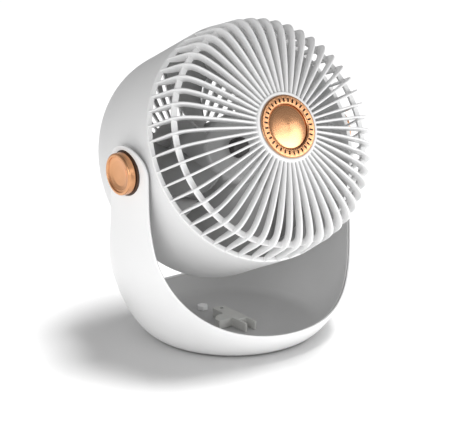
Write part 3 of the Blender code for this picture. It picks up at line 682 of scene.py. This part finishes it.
# ---- yoke ----
@dataclass
class Yoke:
    """Cup-shaped yoke: white shell, liner coloured grey as painted shade of the cup's inside, hook, stop,
    cover and feet.
    """

    shop: Workshop
    pivot_z: float
    cup_r: float = 102.0
    straight_z: float = 91.3
    foot_r: float = 60.9
    curve: float = 1.76
    shell_wall: float = 1.6
    liner_wall: float = 1.2
    gap: float = 0.3
    underside_z: float = 1.2
    tray_z: float = 4.4
    cover_r: float = 52.6
    arm_half: float = 25.0
    arm_top: float = 21.0
    flare_below: float = 20.0
    flare_depth: float = 79.0
    flare_bottoms: tuple[float, float] = (18.4, 15.4)
    seat_r: float = 17.4
    bolt_r: float = 4.0

    def radius(self, z: float) -> float:
        """Outer radius of the cup.

        Args:
            z: height above the ground.

        Returns:
            The radius at that height.
        """
        if z >= self.straight_z:
            return self.cup_r
        fall = (self.straight_z - z) / self.straight_z
        return self.foot_r + (self.cup_r - self.foot_r) * (1 - fall ** self.curve) ** (1 / self.curve)

    def flare(self, inset: float, bottom: float, count: int = 46) -> list[Point]:
        """One edge of an arm as it widens into the lip.

        Args:
            inset: how far the surface lies inside the cup's outer form.
            bottom: lowest height of the elliptical cut.
            count: steps along the edge.

        Returns:
            (angle from the arm's middle, height) from the arm to the middle of the lip.
        """
        top = self.pivot_z - self.flare_below
        start = math.asin(self.arm_half / (self.cup_r - inset))
        edge = []
        for step in range(count + 1):
            angle = start + (math.pi / 2 - start) * (step / count) ** 2
            low, high = 0.0, math.pi / 2
            for _ in range(48):
                bend = (low + high) / 2
                z = top - (top - bottom) * math.sin(bend)
                y = self.arm_half + self.flare_depth * (1 - math.cos(bend))
                if y < (self.radius(z) - inset) * math.sin(angle):
                    low = bend
                else:
                    high = bend
            edge.append((angle, top - (top - bottom) * math.sin(low)))
        return edge

    def outline(self, inset: float) -> list[tuple[float, float, float]]:
        """Edge of the left half, from the front lip over the arm to the rear lip.

        Args:
            inset: how far the surface lies inside the cup's outer form.

        Returns:
            (angle, height, angle at the foot) for each point.
        """
        front, rear = (self.flare(inset, bottom) for bottom in self.flare_bottoms)
        reach = self.cup_r - inset
        half = front[0][0]
        knee, shoulder = math.radians(7.0), math.radians(4.2)
        rise = self.flare_below
        straight = [(half, self.pivot_z - rise * (1 - i / 6), knee + (shoulder - knee) * i / 6)
                    for i in range(1, 6)]
        tip = [(math.asin(self.arm_half * math.cos(a) / reach), self.pivot_z + self.arm_top * math.sin(a),
                shoulder * math.cos(a)) for a in (math.pi * i / 30 for i in range(31))]
        widen = [[(angle, z, angle - (half - knee) * (math.pi / 2 - angle) / (math.pi / 2 - half))
                  for angle, z in edge] for edge in (front, rear)]
        left = [(-angle, z, -foot) for angle, z, foot in widen[0][::-1] + straight]
        arch = [(-angle, z, -foot) for angle, z, foot in tip]
        return left + arch + straight[::-1] + widen[1]

    def skin(self, insets: Point, floors: Point, hole_r: float, edge: float, fold: float,
             back: float) -> BMesh:
        """One wall of the yoke as a closed shape with a rounded rim.

        Args:
            insets: insets of its outer and inner faces from the cup's outer form.
            floors: heights of its floor's underside and top.
            hole_r: radius of the opening in its floor, or 0.
            edge: radius of the rim's corners.
            fold: radius where the floor turns up into the side.
            back: how far its rim stands back from the yoke's edge.

        Returns:
            The closed shape.
        """
        edges = [self.outline(inset) for inset in insets]
        wall = insets[1] - insets[0]
        shape = bmesh.new()
        columns = []
        for index, (angle, z, foot) in enumerate(edges[0]):
            before, after = edges[0][max(index - 1, 0)], edges[0][min(index + 1, len(edges[0]) - 1)]
            along = Vector(((after[0] - before[0]) * self.radius(z), after[1] - before[1])).normalized()
            inward = Vector((along.y, -along.x))
            if index in (0, len(edges[0]) - 1):
                inward = Vector((0.0, -1.0))
            quarter = [math.pi / 2 * i / 4 for i in range(5)]
            rim = [(back + edge * (1 - math.sin(a)), edge * (1 - math.cos(a))) for a in quarter]
            rim += [(back + edge * (1 - math.cos(a)), wall - edge * (1 - math.sin(a))) for a in quarter]
            spots = []
            for push, depth in rim:
                share = depth / wall
                a0 = angle + (edges[1][index][0] - angle) * share
                z0 = z + (edges[1][index][1] - z) * share
                level = z0 + inward.y * push
                spots.append((a0 + inward.x * push / self.radius(z0), level, insets[0] + depth))
            low_r = [self.radius(floor) - inset for floor, inset in zip(floors, insets)]
            path = [(foot, hole_r, floors[0]), (foot, low_r[0] - 2.0, floors[0])]
            path += self.side(foot, floors[0], spots[0])
            path += [(a, self.radius(z0) - inset, z0) for a, z0, inset in spots[1:-1]]
            inner = self.side(foot, floors[1] + fold, spots[-1])[::-1]
            path += inner
            start, corner = inner[-1], low_r[1]
            for step in range(1, 7):
                t = step / 6
                r = start[1] * (1 - t) ** 2 + corner * 2 * t * (1 - t) + (corner - 2 * fold) * t * t
                path.append((foot, r, start[2] * (1 - t) ** 2 + floors[1] * (1 - (1 - t) ** 2)))
            path.append((foot, hole_r, floors[1]))
            columns.append([shape.verts.new((-r * math.cos(a), r * math.sin(a), h)) for a, r, h in path])
        count = len(columns[0])
        wrap = count if hole_r > 0 else count - 1
        for near, far in zip(columns, columns[1:]):
            for i in range(wrap):
                j = (i + 1) % count
                shape.faces.new((near[i], near[j], far[j], far[i]))
        mirror = Matrix.Scale(-1.0, 4, (1, 0, 0))
        whole = merged((shape.copy(), shape), (IDENTITY, mirror))
        bmesh.ops.remove_doubles(whole, verts=whole.verts, dist=WELD)
        bmesh.ops.recalc_face_normals(whole, faces=whole.faces)
        return whole

    def side(self, foot: float, low: float, top: tuple[float, float, float],
             rows: int = 44) -> list[tuple[float, ...]]:
        """Points up one column of the cup's side.

        Args:
            foot: angle at the bottom.
            low: height of the bottom.
            top: angle, height and inset of the top.
            rows: steps up the side.

        Returns:
            (angle, radius, height) from the bottom to the top.
        """
        angle, high, inset = top
        path = []
        for row in range(rows + 1):
            share = (row / rows) ** 1.5
            z = low + (high - low) * share
            path.append((foot + (angle - foot) * share, self.radius(z) - inset, z))
        return path

    def seat_x(self) -> float:
        """Place of the flat seat cut into each arm."""
        return math.sqrt(self.cup_r ** 2 - self.seat_r ** 2) - self.gap

    def pivot(self, side: int) -> Matrix:
        """Frame of one pivot in millimetres, with Z outward."""
        return Matrix.Translation((0, 0, self.pivot_z)) @ outward(side)

    def bored(self, wall: BMesh, recess: bool) -> BMesh:
        """Cut the pivot holes in a wall of the yoke.

        Args:
            wall: the wall; it is freed.
            recess: whether the flat seats of the caps are cut as well.

        Returns:
            The wall with its holes.
        """
        hole_r, start, end = self.bolt_r + self.gap, self.cup_r - 22.0, self.cup_r + 18.0
        radius, seat = (self.seat_r + self.gap, self.seat_x()) if recess else (hole_r, start)
        sides = [self.pivot(side) for side in SIDES.values()]
        if recess:
            holes = repeated(lambda: disc(hole_r, start, end, Facets.TINY), sides)
            wall = combined(wall, holes, Join.CUT)
        return combined(wall, repeated(lambda: disc(radius, seat, end, Facets.MEDIUM), sides), Join.CUT)

    def hook_outline(self) -> Profile:
        """Plan of the hook plate with its side lobe and slotted end.

        Returns:
            The points round it.
        """
        slot_l, slot_r, slot_y = -4.8, 2.4, -15.2
        right, left, front, rear, lobe = 4.6, -7.0, -26.5, 18.0, -20.0
        corners = [(right, front, 0.7), (right, rear, 1.2), (left, rear, 1.2), (left, 2.8, 0.8),
                   (-14.0, 2.8, 4.5), (lobe, -3.2, 3.0), (lobe, -9.2, 0.8), (left, -9.2, 0.8),
                   (left, front, 0.7), (slot_l, front, 0.7), (slot_l, slot_y, 1.6),
                   (slot_r, slot_y, 1.6), (slot_r, front, 0.7)]
        return softened(corners)

    def build(self) -> None:
        """Make every piece of the yoke."""
        make, base = self.shop.piece, Body.BASE
        inner = self.shell_wall + self.gap
        shell = self.skin((0.0, self.shell_wall), (self.underside_z, self.underside_z + self.shell_wall),
                          self.cover_r + self.gap, edge=0.5, fold=1.2, back=0.0)
        make("yoke_outer_shell", self.bored(shell, True), "white", base, "yoke_shell")
        liner = self.skin((inner, inner + self.liner_wall), (self.tray_z - self.liner_wall, self.tray_z),
                          0.0, edge=0.4, fold=3.5, back=1.3)
        # The liner's grey colour is painted shade of the cup's inside.
        make("yoke_inner_liner", self.bored(liner, False), "grey", base, "yoke_liner")
        low, top, edge = self.tray_z + self.gap, 12.0, 0.4
        plate = slab(self.hook_outline(), low, top, edge)
        hole = merged([disc(1.9, low - 1, top + 1, Facets.TINY)], [Matrix.Translation((-1.2, 13.25, 0))])
        make("hook_plate", combined(plate, hole, Join.CUT), "hook_grey", base, "wall_hook")
        stop_r, stop_height = 4.6, 3.6
        hexagon = [(stop_r * math.cos(a), stop_r * math.sin(a), 0.5)
                   for a in (math.pi / 3 * i for i in range(6))]
        stop = slab(softened(hexagon, 3), low, low + stop_height, edge)
        make("hook_rest", stop, "white", base, "hook_stop", Matrix.Translation((-0.0035, 0.036, 0)))
        self.build_cover()
        self.build_pivots()

    def build_cover(self) -> None:
        """Cover under the yoke and its four feet."""
        low, high, foot_r, ring = self.underside_z, 2.7, 6.0, self.cover_r - 9.0
        profile = [(0, low), (self.cover_r, low, 0.3), (self.cover_r, high, 0.3), (0, high)]
        plate = lathed(profile, Facets.LARGE, 3, False)
        spots = [turn @ Matrix.Translation((ring, 0, 0)) for turn in turns(4, 45.0)]
        seats = repeated(lambda: disc(foot_r + self.gap, low - 1.0, low + 0.8, Facets.SMALL), spots)
        make = self.shop.piece
        make("underside_cover", combined(plate, seats, Join.CUT), "white", Body.BASE, "base_cover")
        pad_top = low + 0.5
        for index, spot in enumerate(spots, start=1):
            pad = [(0, 0), (foot_r, 0, 0.5), (foot_r, pad_top, 0.2), (0, pad_top)]
            make(f"rubber_foot_{index}", lathed(pad, Facets.SMALL, 4, False), "rubber", Body.BASE,
                 f"foot_{index}", Matrix.Translation(spot.translation * MM))

    def build_pivots(self) -> None:
        """Pivot caps on seats coloured dark bronze as painted shade of the gap under each cap."""
        seat_x = self.seat_x() + self.gap
        seat_top = seat_x + 1.6
        near, face, rim = seat_top + self.gap, self.cup_r + 7.2, 16.2
        dish = [(0.0, near), (rim - 0.6, near, 0.4), (rim, near + 0.8, 0.4), (rim, face - 0.6, 1.8),
                (rim - 1.4, face, 1.4), (rim - 2.5, face - 0.2, 0.5), (rim - 2.9, face - 1.2, 0.2),
                (rim - 3.7, face - 1.2, 0.2), (rim - 4.3, face - 1.5, 0.5), (rim - 7.0, face - 2.2, 2.0),
                (rim - 10.5, face - 2.55, 2.0), (0.0, face - 2.6)]
        seat = [(8.0, seat_x), (self.seat_r, seat_x, 0.3), (self.seat_r, seat_top, 0.5), (8.0, seat_top)]
        for name, side in SIDES.items():
            place = Matrix.Translation((0, 0, self.pivot_z * MM)) @ outward(side)
            self.shop.piece(f"pivot_dish_{name}", lathed(dish, Facets.MEDIUM, 6, False), "copper", Body.BASE,
                            f"pivot_cap_{name}", place, ROUND_CREASE)
            # Each seat's dark bronze colour is painted shade of the gap round its cap.
            self.shop.piece(f"pivot_seat_{name}", lathed(seat, Facets.MEDIUM, 4), "painted_shade_bronze", Body.BASE,
                            f"cap_seat_{name}", place)


# ---- head ----
@dataclass
class DrumHead:
    """Tilting head: drum, dome grille, badge, rear grille, impeller and controls."""

    shop: Workshop
    place: Matrix
    front_r: float = 95.0
    rear_r: float = 94.0
    front_u: float = 28.5
    corner_u: float = -31.0
    corner_depth: float = 34.5
    corner_curve: float = 4.5
    wall: float = 2.2
    gap: float = 0.3
    opening_r: float = 85.5
    rim_u: float = 29.8
    dome_height: float = 42.0
    dome_lean: float = 5.5
    dome_crown: float = 5.0
    rib_count: int = 50
    rib_phase: float = 5.1
    rib_half: float = 0.95
    rib_depths: Point = (3.6, 7.6)
    hub_r: float = 27.5
    hub_top: float = 77.2
    badge_r: float = 24.5
    badge_top: float = 78.7
    badge_slots: int = 32
    rear_hub_r: float = 36.0
    rear_slots: int = 48
    boss_r: float = 14.0
    bush_r: float = 6.1
    tip_r: float = 86.8
    root_r: float = 26.9
    blade_count: int = 5
    blade_span: float = 58.0
    blade_rise: float = 46.0
    blade_mid_u: float = -10.0
    blade_thick: float = 1.8
    blade_phase: float = 17.0
    cap_r: float = 33.0
    cap_depth: float = 9.6
    button_r: float = 7.0

    def drum_u(self, radius: float) -> float:
        """Place along the axis of the drum's rear corner at a radius."""
        return self.corner_u - self.corner_depth * (1 - (radius / self.rear_r) ** self.corner_curve) ** (
            1 / self.corner_curve)

    def dome(self, share: float) -> Point:
        """Radius and height of the ribs' outer edge at a share of the dome's height."""
        radius = (self.front_r - self.dome_lean * share) * max(1 - share ** 10, 0.0) ** 0.25
        return radius, self.rim_u + self.dome_height * share + self.crown(radius)

    def crown(self, radius: float) -> float:
        """Extra height of the dome at a radius."""
        return self.dome_crown * (1 - (radius / self.front_r) ** 2)

    def make(self, name: str, shape: BMesh, finish: str, node: str, crease: float = CREASE,
             place: Matrix | None = None, body: Body = Body.HEAD) -> bpy.types.Object:
        """Make a piece of the head, in the head's own frame unless told otherwise."""
        return self.shop.piece(name, shape, finish, body, node, place or self.place, crease)

    def build(self) -> None:
        """Make every piece of the head."""
        self.build_drum()
        self.build_dome()
        self.build_badge()
        self.build_rear()
        self.build_impeller()
        self.build_controls()

    def build_drum(self) -> None:
        """Drum shell with a flat boss at each pivot."""
        sweep = [self.rear_r - (self.rear_r - self.opening_r - self.gap) * (i / 16) ** 2 for i in range(17)]
        corner = [(r, self.drum_u(min(r, self.rear_r - 1e-6))) for r in sweep]
        inner = [(r - self.wall * min(1.0, 0.35 + 0.65 * (1 - i / 16)), u + self.wall * (0.2 + 1.2 * i / 16))
                 for i, (r, u) in enumerate(corner)]
        inner[-1] = (corner[-1][0], corner[-1][1] + 1.4 * self.wall)
        profile = [(self.front_r - self.wall, self.front_u, 0.3), (self.front_r, self.front_u, 0.6),
                   (self.rear_r, self.corner_u)] + corner[1:] + inner[::-1]
        shell = lathed(profile, Facets.LARGE, 4)
        start, end = self.tip_r + 1.8, self.front_r + 1.2
        boss = [(0.0, start), (self.boss_r, start), (self.boss_r, end, 0.5), (0.0, end)]
        sides = [outward(side) for side in SIDES.values()]
        shell = combined(shell, repeated(lambda: lathed(boss, Facets.MEDIUM, 4, False), sides), Join.ADD)
        bores = repeated(lambda: disc(self.bush_r + self.gap, start - 5, end + 5, Facets.SMALL), sides)
        self.make("drum_shell", combined(shell, bores, Join.CUT), "shell", "rear_shell")

    def rib_stations(self) -> list[Point]:
        """Follow a rib's outer edge from its foot on the rim, over the shoulder, to the hub.

        Returns:
            (radius, height) of each station.
        """
        foot, shoulder, start, end = 0.005, 0.8, 0.973, 0.27
        line = [self.dome(foot + (shoulder - foot) * i / 14) for i in range(15)]
        for i in range(1, 29):
            share = start - (start - end) * i / 28
            line.append(self.dome((1 - share ** 4) ** 0.1))
        return line

    def rib(self) -> BMesh:
        """One rib: a flat blade with a rounded outer edge, a pointed foot and slight draft.

        Returns:
            The closed shape, in the plane of X and Z.
        """
        line = self.rib_stations()
        half, (thin, deep) = self.rib_half, self.rib_depths
        face = [(-half, 0.95), (-0.86 * half, 0.42), (-0.5 * half, 0.1), (0.0, 0.0), (0.5 * half, 0.1),
                (0.86 * half, 0.42), (half, 0.95)]
        sections = []
        for index, (r, u) in enumerate(line):
            before, after = line[max(index - 1, 0)], line[min(index + 1, len(line) - 1)]
            along = Vector((after[0] - before[0], after[1] - before[1])).normalized()
            inward = Vector((-along.y, along.x))
            if inward.x > 0.0 and index < 20:
                inward.negate()
            depth = thin + (deep - thin) * min(1.0, index / 10) ** 0.8
            back = [(0.82 * half, depth - 0.35), (0.55 * half, depth), (-0.55 * half, depth),
                    (-0.82 * half, depth - 0.35)]
            narrow = min(1.0, 0.55 + 0.45 * index / 3)
            sections.append([Vector((r + inward.x * d, t * narrow, u + inward.y * d))
                             for t, d in face + back])
        return lofted(sections)

    def build_dome(self) -> None:
        """Dome grille: rim, ribs, reinforcing ring and hub."""
        node, ring_height = "front_grille", 24.8
        rim_in = self.front_r - self.wall - 2 * self.gap
        skirt, top, low = rim_in - 1.2, self.rim_u + 1.0, self.front_u - 5.0
        rim = [(skirt, low, 0.3), (rim_in, low, 0.3), (rim_in, self.front_u + self.gap),
               (self.front_r, self.front_u + self.gap, 0.5), (self.front_r, top, 0.9), (skirt, top, 0.6)]
        self.make("dome_rim", lathed(rim, Facets.LARGE, 4), "white", node)
        ribs = repeated(self.rib, turns(self.rib_count, self.rib_phase))
        self.make("dome_ribs", ribs, "white", node, RIB_CREASE)
        ring_r, ring_u = self.dome(ring_height / self.dome_height)[0] - 3.0, self.rim_u + ring_height
        ring_in, under, over = ring_r - 4.6, ring_u - 1.2, ring_u + 1.2
        ring = [(ring_in, under, 0.5), (ring_r, under, 0.6), (ring_r, over, 0.6), (ring_in, over, 0.5)]
        self.make("dome_ring", lathed(ring, Facets.LARGE, 4), "white", node)
        seat_r, floor, lip = self.badge_r - 1.5, self.hub_top - 2.0, self.hub_top - 0.7
        base = self.rim_u + self.dome_height + self.dome_crown - 9.0
        hub = [(0.0, base), (self.hub_r, base, 1.2), (self.hub_r, self.hub_top, 1.6),
               (self.badge_r + 0.5, self.hub_top, 0.4), (self.badge_r + 0.4, lip, 0.2),
               (seat_r + self.gap, lip, 0.2), (seat_r + self.gap, floor), (0.0, floor)]
        self.make("dome_hub", lathed(hub, Facets.MEDIUM, 5, False), "white", node)

    def build_badge(self) -> None:
        """Slotted ring round a domed disc, with a groove between them; the slots' pockets are coloured dark
        as painted shade.
        """
        low, top, disc_r, dome_low = self.hub_top - 1.7, self.badge_top, 17.2, self.badge_top - 1.7
        seat_r, inner = self.badge_r - 1.5, disc_r + self.gap
        step = self.hub_top + self.gap
        slot_in, slot_out, slot_floor = 18.9, 22.1, top - 1.1
        ring = [(inner, low), (seat_r, low), (seat_r, step), (self.badge_r, step, 0.2),
                (self.badge_r, top - 0.6, 0.6), (self.badge_r - 1.0, top, 0.8), (inner + 0.9, top, 0.5),
                (inner, top - 0.7, 0.4)]
        slot = tongue_outline(slot_in, slot_out, 0.7, 0.6, 4)
        slots = repeated(lambda: slab(slot, slot_floor, top + 1.0),
                         turns(self.badge_slots, 180.0 / self.badge_slots))
        shape = combined(lathed(ring, Facets.MEDIUM, 5), slots, Join.CUT)
        made = self.make("badge_slotted_ring", shape, "copper", "badge_ring", RIB_CREASE)
        # Faces inside the slots take the dark bronze colour: painted shade in the pockets.
        made.data.materials.append(self.shop.materials["painted_shade_bronze"])
        for face in made.data.polygons:
            reach, height = face.center.xy.length / MM, face.center.z / MM
            if slot_in - 0.1 < reach < slot_out + 0.1 and slot_floor - 0.1 < height < top - 0.05:
                face.material_index = 1
        rise = [(disc_r * math.cos(a), dome_low + 1.6 * math.sin(a))
                for a in (math.pi / 2 * i / 14 for i in range(14))]
        dome = [(0.0, low), (disc_r, low)] + rise + [(0.0, top - 0.1)]
        self.make("badge_dome", turned(dome, Facets.MEDIUM, False), "copper", "badge_disc", ROUND_CREASE)

    def build_rear(self) -> None:
        """Rear grille with radial slots and the motor's bearing tube."""
        face = self.drum_u(self.rear_hub_r)
        radii = [self.rear_hub_r + (self.opening_r - self.rear_hub_r) * i / 22 for i in range(23)]
        skin = [(r, self.drum_u(r)) for r in radii]
        bore, tube, end = 5.0, 6.5, face + self.wall + 40.0
        slot_half, clear = 2.2, 5.0
        profile = ([(bore, face)] + skin + [(r, u + self.wall) for r, u in skin[::-1]]
                   + [(tube, face + self.wall), (tube, end), (bore, end)])
        slot = tongue_outline(self.rear_hub_r + 6.0, self.opening_r - 5.5, slot_half, 2.0, 5)
        slots = repeated(lambda: slab(slot, face - clear, face + 40.0),
                         turns(self.rear_slots, 180.0 / self.rear_slots))
        grille = combined(turned(profile, Facets.LARGE), slots, Join.CUT)
        self.make("rear_air_grille", grille, "shell", "rear_grille")

    def blade(self) -> BMesh:
        """One broad twisted blade, thick at the root and fine at its edges.

        Returns:
            The closed shape.
        """
        across, along = 16, 40
        tip_cut, sweep, root_pitch, tip_thinning = 0.28, 16.0, 0.72, 0.45
        upper, lower = [], []
        for j in range(along + 1):
            share = j / along
            end = self.tip_r - (self.tip_r - self.root_r) * tip_cut * abs(2 * share - 1) ** 5
            fine = 0.30 + 0.70 * math.sin(math.pi * min(max(share, 0.0), 1.0)) ** 0.5
            for side, rows in ((1, upper), (-1, lower)):
                row = []
                for i in range(across + 1):
                    out = i / across
                    radius = self.root_r + (end - self.root_r) * out
                    angle = math.radians(self.blade_span * share - sweep * out ** 2)
                    pitch = root_pitch + (1.0 - root_pitch) * out
                    u = self.blade_mid_u + self.blade_rise * (share - 0.5) * pitch
                    half = self.blade_thick / 2 * fine * (1.0 - tip_thinning * out ** 3)
                    row.append(Vector((radius * math.cos(angle), radius * math.sin(angle), u + side * half)))
                rows.append(row)
        return lofted([top + bottom[::-1] for top, bottom in zip(upper, lower)])

    def build_impeller(self) -> None:
        """Hub with five blades, and the nut that holds it."""
        floor = self.drum_u(self.rear_hub_r) + self.wall
        low, web = floor + 6.5, floor + 43.3
        top, hub_r, bore, inner = low + 63.0, 28.1, 2.3, 26.1
        hub = [(inner, low), (hub_r, low, 0.5), (hub_r, top, 6.0), (bore, top, 0.2), (bore, top - 2.0),
               (hub_r - 7.0, top - 2.0, 2.0), (inner - 3.0, top - 6.5, 1.0), (inner - 3.0, web), (inner, web)]
        shape = lathed(hub, Facets.MEDIUM, 8)
        blades = repeated(self.blade, turns(self.blade_count, self.blade_phase))
        self.make("fan_wheel", combined(shape, blades, Join.ADD), "blade", "impeller", body=Body.ROTOR)
        tip = top + 6.0
        nut = [(0.0, tip + 3.5), (5.0, tip + 3.0, 1.5), (8.0, tip + 0.5, 1.5), (8.0, top + self.gap, 0.4),
               (bore, top + self.gap), (bore, tip + self.gap), (0.0, tip + self.gap)]
        cap = lathed(nut, Facets.SMALL, 5, False)
        flutes = repeated(lambda: disc(1.0, top - 1.0, tip + 5.0, Facets.TINY),
                          [turn @ Matrix.Translation((8.5, 0, 0)) for turn in turns(12)])
        self.make("wheel_nut", combined(cap, flutes, Join.CUT), "dark", "impeller_nut", body=Body.ROTOR)

    def build_controls(self) -> None:
        """Control housing with its button, lamp, socket and screws."""
        near = self.drum_u(self.rear_hub_r) - self.gap
        far, wall, cap_r, button_r = near - self.cap_depth, 1.8, self.cap_r, self.button_r
        hole, below, above = button_r + 0.6, far - 3.0, far + wall + 1.0
        cup = [(cap_r - wall, near), (cap_r, near, 0.3), (cap_r, far, 4.6), (hole, far, 0.4),
               (hole, far + wall), (cap_r - 4.5, far + wall, 0.6), (cap_r - wall, far + 4.4, 0.6)]
        housing = lathed(cup, Facets.MEDIUM, 7)
        ring_r = cap_r - 6.0
        lamp_v, socket_v = ring_r - 10.0, -(ring_r - 8.0)
        spots = [turn @ Matrix.Translation((ring_r, 0, 0)) for turn in turns(3, 90.0)]
        cuts = [slab(box_outline((0.0, socket_v), (9.6, 4.0), 1.4), below, above),
                disc(1.8, below, above, Facets.TINY)] + [disc(2.7, below, above, Facets.TINY) for _ in spots]
        where = [IDENTITY, Matrix.Translation((0, lamp_v, 0)), *spots]
        cup_shape = combined(housing, merged(cuts, where), Join.CUT)
        self.make("control_cup", cup_shape, "white", "control_housing")
        screw = [(0.0, far + 0.3), (2.4, far + 0.3, 0.4), (2.4, far + wall, 0.2), (1.2, far + wall),
                 (1.2, near), (0.0, near)]
        for index, spot in enumerate(spots, start=1):
            bars = merged([slab(box_outline((0, 0), size), far, far + 1.0)
                           for size in ((2.6, 0.6), (0.6, 2.6))], [IDENTITY, IDENTITY])
            body = combined(lathed(screw, Facets.TINY, 4, False), bars, Join.CUT)
            self.make(f"cup_screw_{index}", body, "steel", f"housing_screw_{index}",
                      place=self.place @ Matrix.Translation(spot.translation * MM))
        board = near - 0.2 - 1.6 - self.gap
        lens = [(0.0, far - 0.2), (1.5, far - 0.2, 0.6), (1.5, board), (0.0, board)]
        self.make("lamp_window", lathed(lens, Facets.TINY, 5, False), "lens", "status_lens",
                  place=self.place @ Matrix.Translation((0, lamp_v * MM, 0)))
        mouth = slab(box_outline((0, socket_v), (9.0, 3.4), 1.3), far + 0.1, board)
        well = slab(box_outline((0, socket_v), (8.0, 2.4), 1.1), far - 2.0, board - 2.0)
        socket = combined(mouth, well, Join.CUT)
        tongue = slab(box_outline((0, socket_v), (5.4, 0.7), 0.3), far + 1.2, board - 1.9)
        self.make("charge_port", combined(socket, tongue, Join.ADD), "steel", "charging_socket")
        flange, face = far + wall + self.gap + 1.0, far - 1.0
        press = [(0.0, face + 0.5), (button_r - 2.0, face + 0.3, 1.0), (button_r - 0.8, face, 0.4),
                 (button_r, face + 0.5, 0.5), (button_r, flange - 1.0), (button_r + 1.8, flange - 1.0, 0.2),
                 (button_r + 1.8, flange, 0.2), (0.0, flange)]
        self.make("push_button", lathed(press, Facets.MEDIUM, 5, False), "copper", "power_button",
                  ROUND_CREASE, body=Body.BUTTON)


# ---- studio ----
@dataclass
class Studio:
    """Plain pale floor, soft lights and the camera."""

    aim: Vector = field(default_factory=lambda: Vector((-0.0064, 0.0, 0.0990)))
    back: Vector = field(default_factory=lambda: Vector((-0.5707, -0.7601, 0.3107)).normalized())
    distance: float = 1.5
    lens: float = 150.7
    sky: Point = (0.6, 0.2)
    lamps: tuple[tuple[str, tuple[float, float, float], float, float, Lit], ...] = (
        ("overhead_softbox", (0.8, -0.15, 3.2), 1.1, 118.0, Lit.FLOOR),
        ("front_left_softbox", (-1.6, -1.1, 0.6), 1.0, 14.0, Lit.FAN),
        ("front_right_softbox", (1.0, -1.65, 0.5), 1.0, 15.0, Lit.FAN),
    )

    def hang(self, name: str, data: bpy.types.ID, spot: Vector) -> bpy.types.Object:
        """Place a light or a camera so that it faces the fan.

        Args:
            name: its name.
            data: the light or camera.
            spot: where it hangs, in metres.

        Returns:
            The object that holds it.
        """
        holder = linked(name, data)
        holder.location = spot
        holder.rotation_mode = "QUATERNION"
        holder.rotation_quaternion = (spot - self.aim).to_track_quat("Z", "Y")
        return holder

    def light(self, name: str, spot: Sequence[float], size: float, watts: float, lit: Lit,
              ground: bpy.types.Object) -> None:
        """Hang a soft light that faces the fan.

        Args:
            name: the light's name.
            spot: where it hangs, in metres.
            size: side of its square face.
            watts: its strength.
            lit: whether it falls on the floor or on the fan.
            ground: the floor.
        """
        lamp = bpy.data.lights.new(name, "AREA")
        lamp.shape, lamp.size, lamp.energy = "SQUARE", size, watts
        holder = self.hang(name, lamp, Vector(spot))
        reach = bpy.data.collections.new(f"{name}_reach")
        reach.objects.link(ground)
        reach.collection_objects[0].light_linking.link_state = lit.value
        holder.light_linking.receiver_collection = reach

    def build_sky(self) -> None:
        """Pale surroundings, with one brightness at the horizon and another overhead."""
        world = bpy.data.worlds.new("studio")
        world.use_nodes = True
        tree = world.node_tree
        sky = tree.nodes["Background"]
        sky.inputs["Color"].default_value = (1.0, 1.0, 1.0, 1.0)
        height = tree.nodes.new("ShaderNodeSeparateXYZ")
        ramp = tree.nodes.new("ShaderNodeMapRange")
        ramp.inputs["To Min"].default_value, ramp.inputs["To Max"].default_value = self.sky
        tree.links.new(tree.nodes.new("ShaderNodeTexCoord").outputs["Generated"], height.inputs[0])
        tree.links.new(height.outputs["Z"], ramp.inputs["Value"])
        tree.links.new(ramp.outputs["Result"], sky.inputs["Strength"])
        bpy.context.scene.world = world
        bpy.context.scene.view_settings.view_transform = "Standard"

    def build(self) -> None:
        """Make the floor, the surroundings, the lights and the camera."""
        floor, reach = bpy.data.meshes.new("floor"), 9
        corners = [(-reach, -reach, 0), (reach, -reach, 0), (reach, reach, 0), (-reach, reach, 0)]
        floor.from_pydata(corners, [], [(0, 1, 2, 3)])
        nodes = Nodes("pale_floor")
        nodes.set(Roughness=0.7)
        nodes.between(nodes.noise(3.0), (0.93, 0.93, 0.93), (0.95, 0.95, 0.95))
        floor.materials.append(nodes.material)
        ground = linked("floor", floor)
        self.build_sky()
        for lamp in self.lamps:
            self.light(*lamp, ground)
        camera = bpy.data.cameras.new("camera")
        camera.lens, camera.sensor_width = self.lens, 36.0
        camera.clip_start, camera.clip_end = 0.05, 60.0
        bpy.context.scene.camera = self.hang("camera", camera, self.aim + self.back * self.distance)


def head_frame() -> Matrix:
    """Find where the head lies, from its tilt and spin joints.

    Returns:
        The head's frame, in metres.
    """
    joints = {joint["name"]: joint for joint in frame["record"]["behaviour"]["joints"]}
    forward = Vector(joints["fan_spin"]["axis"]).normalized()
    across = Vector((1.0, 0.0, 0.0))
    turn = Matrix((across, forward.cross(across), forward)).transposed().to_4x4()
    return Matrix.Translation(joints["head_tilt"]["pos_m"]) @ turn


def main() -> None:
    """Build the fan, its finishes and the studio."""
    logging.basicConfig(level=logging.INFO, format="%(message)s")
    shop = Workshop()
    place = head_frame()
    Yoke(shop, place.translation.z / MM).build()
    DrumHead(shop, place).build()
    for finish, nodes in DRESSED.items():
        shop.dress(finish, *nodes)
    Studio().build()


if __name__ == "__main__":
    main()
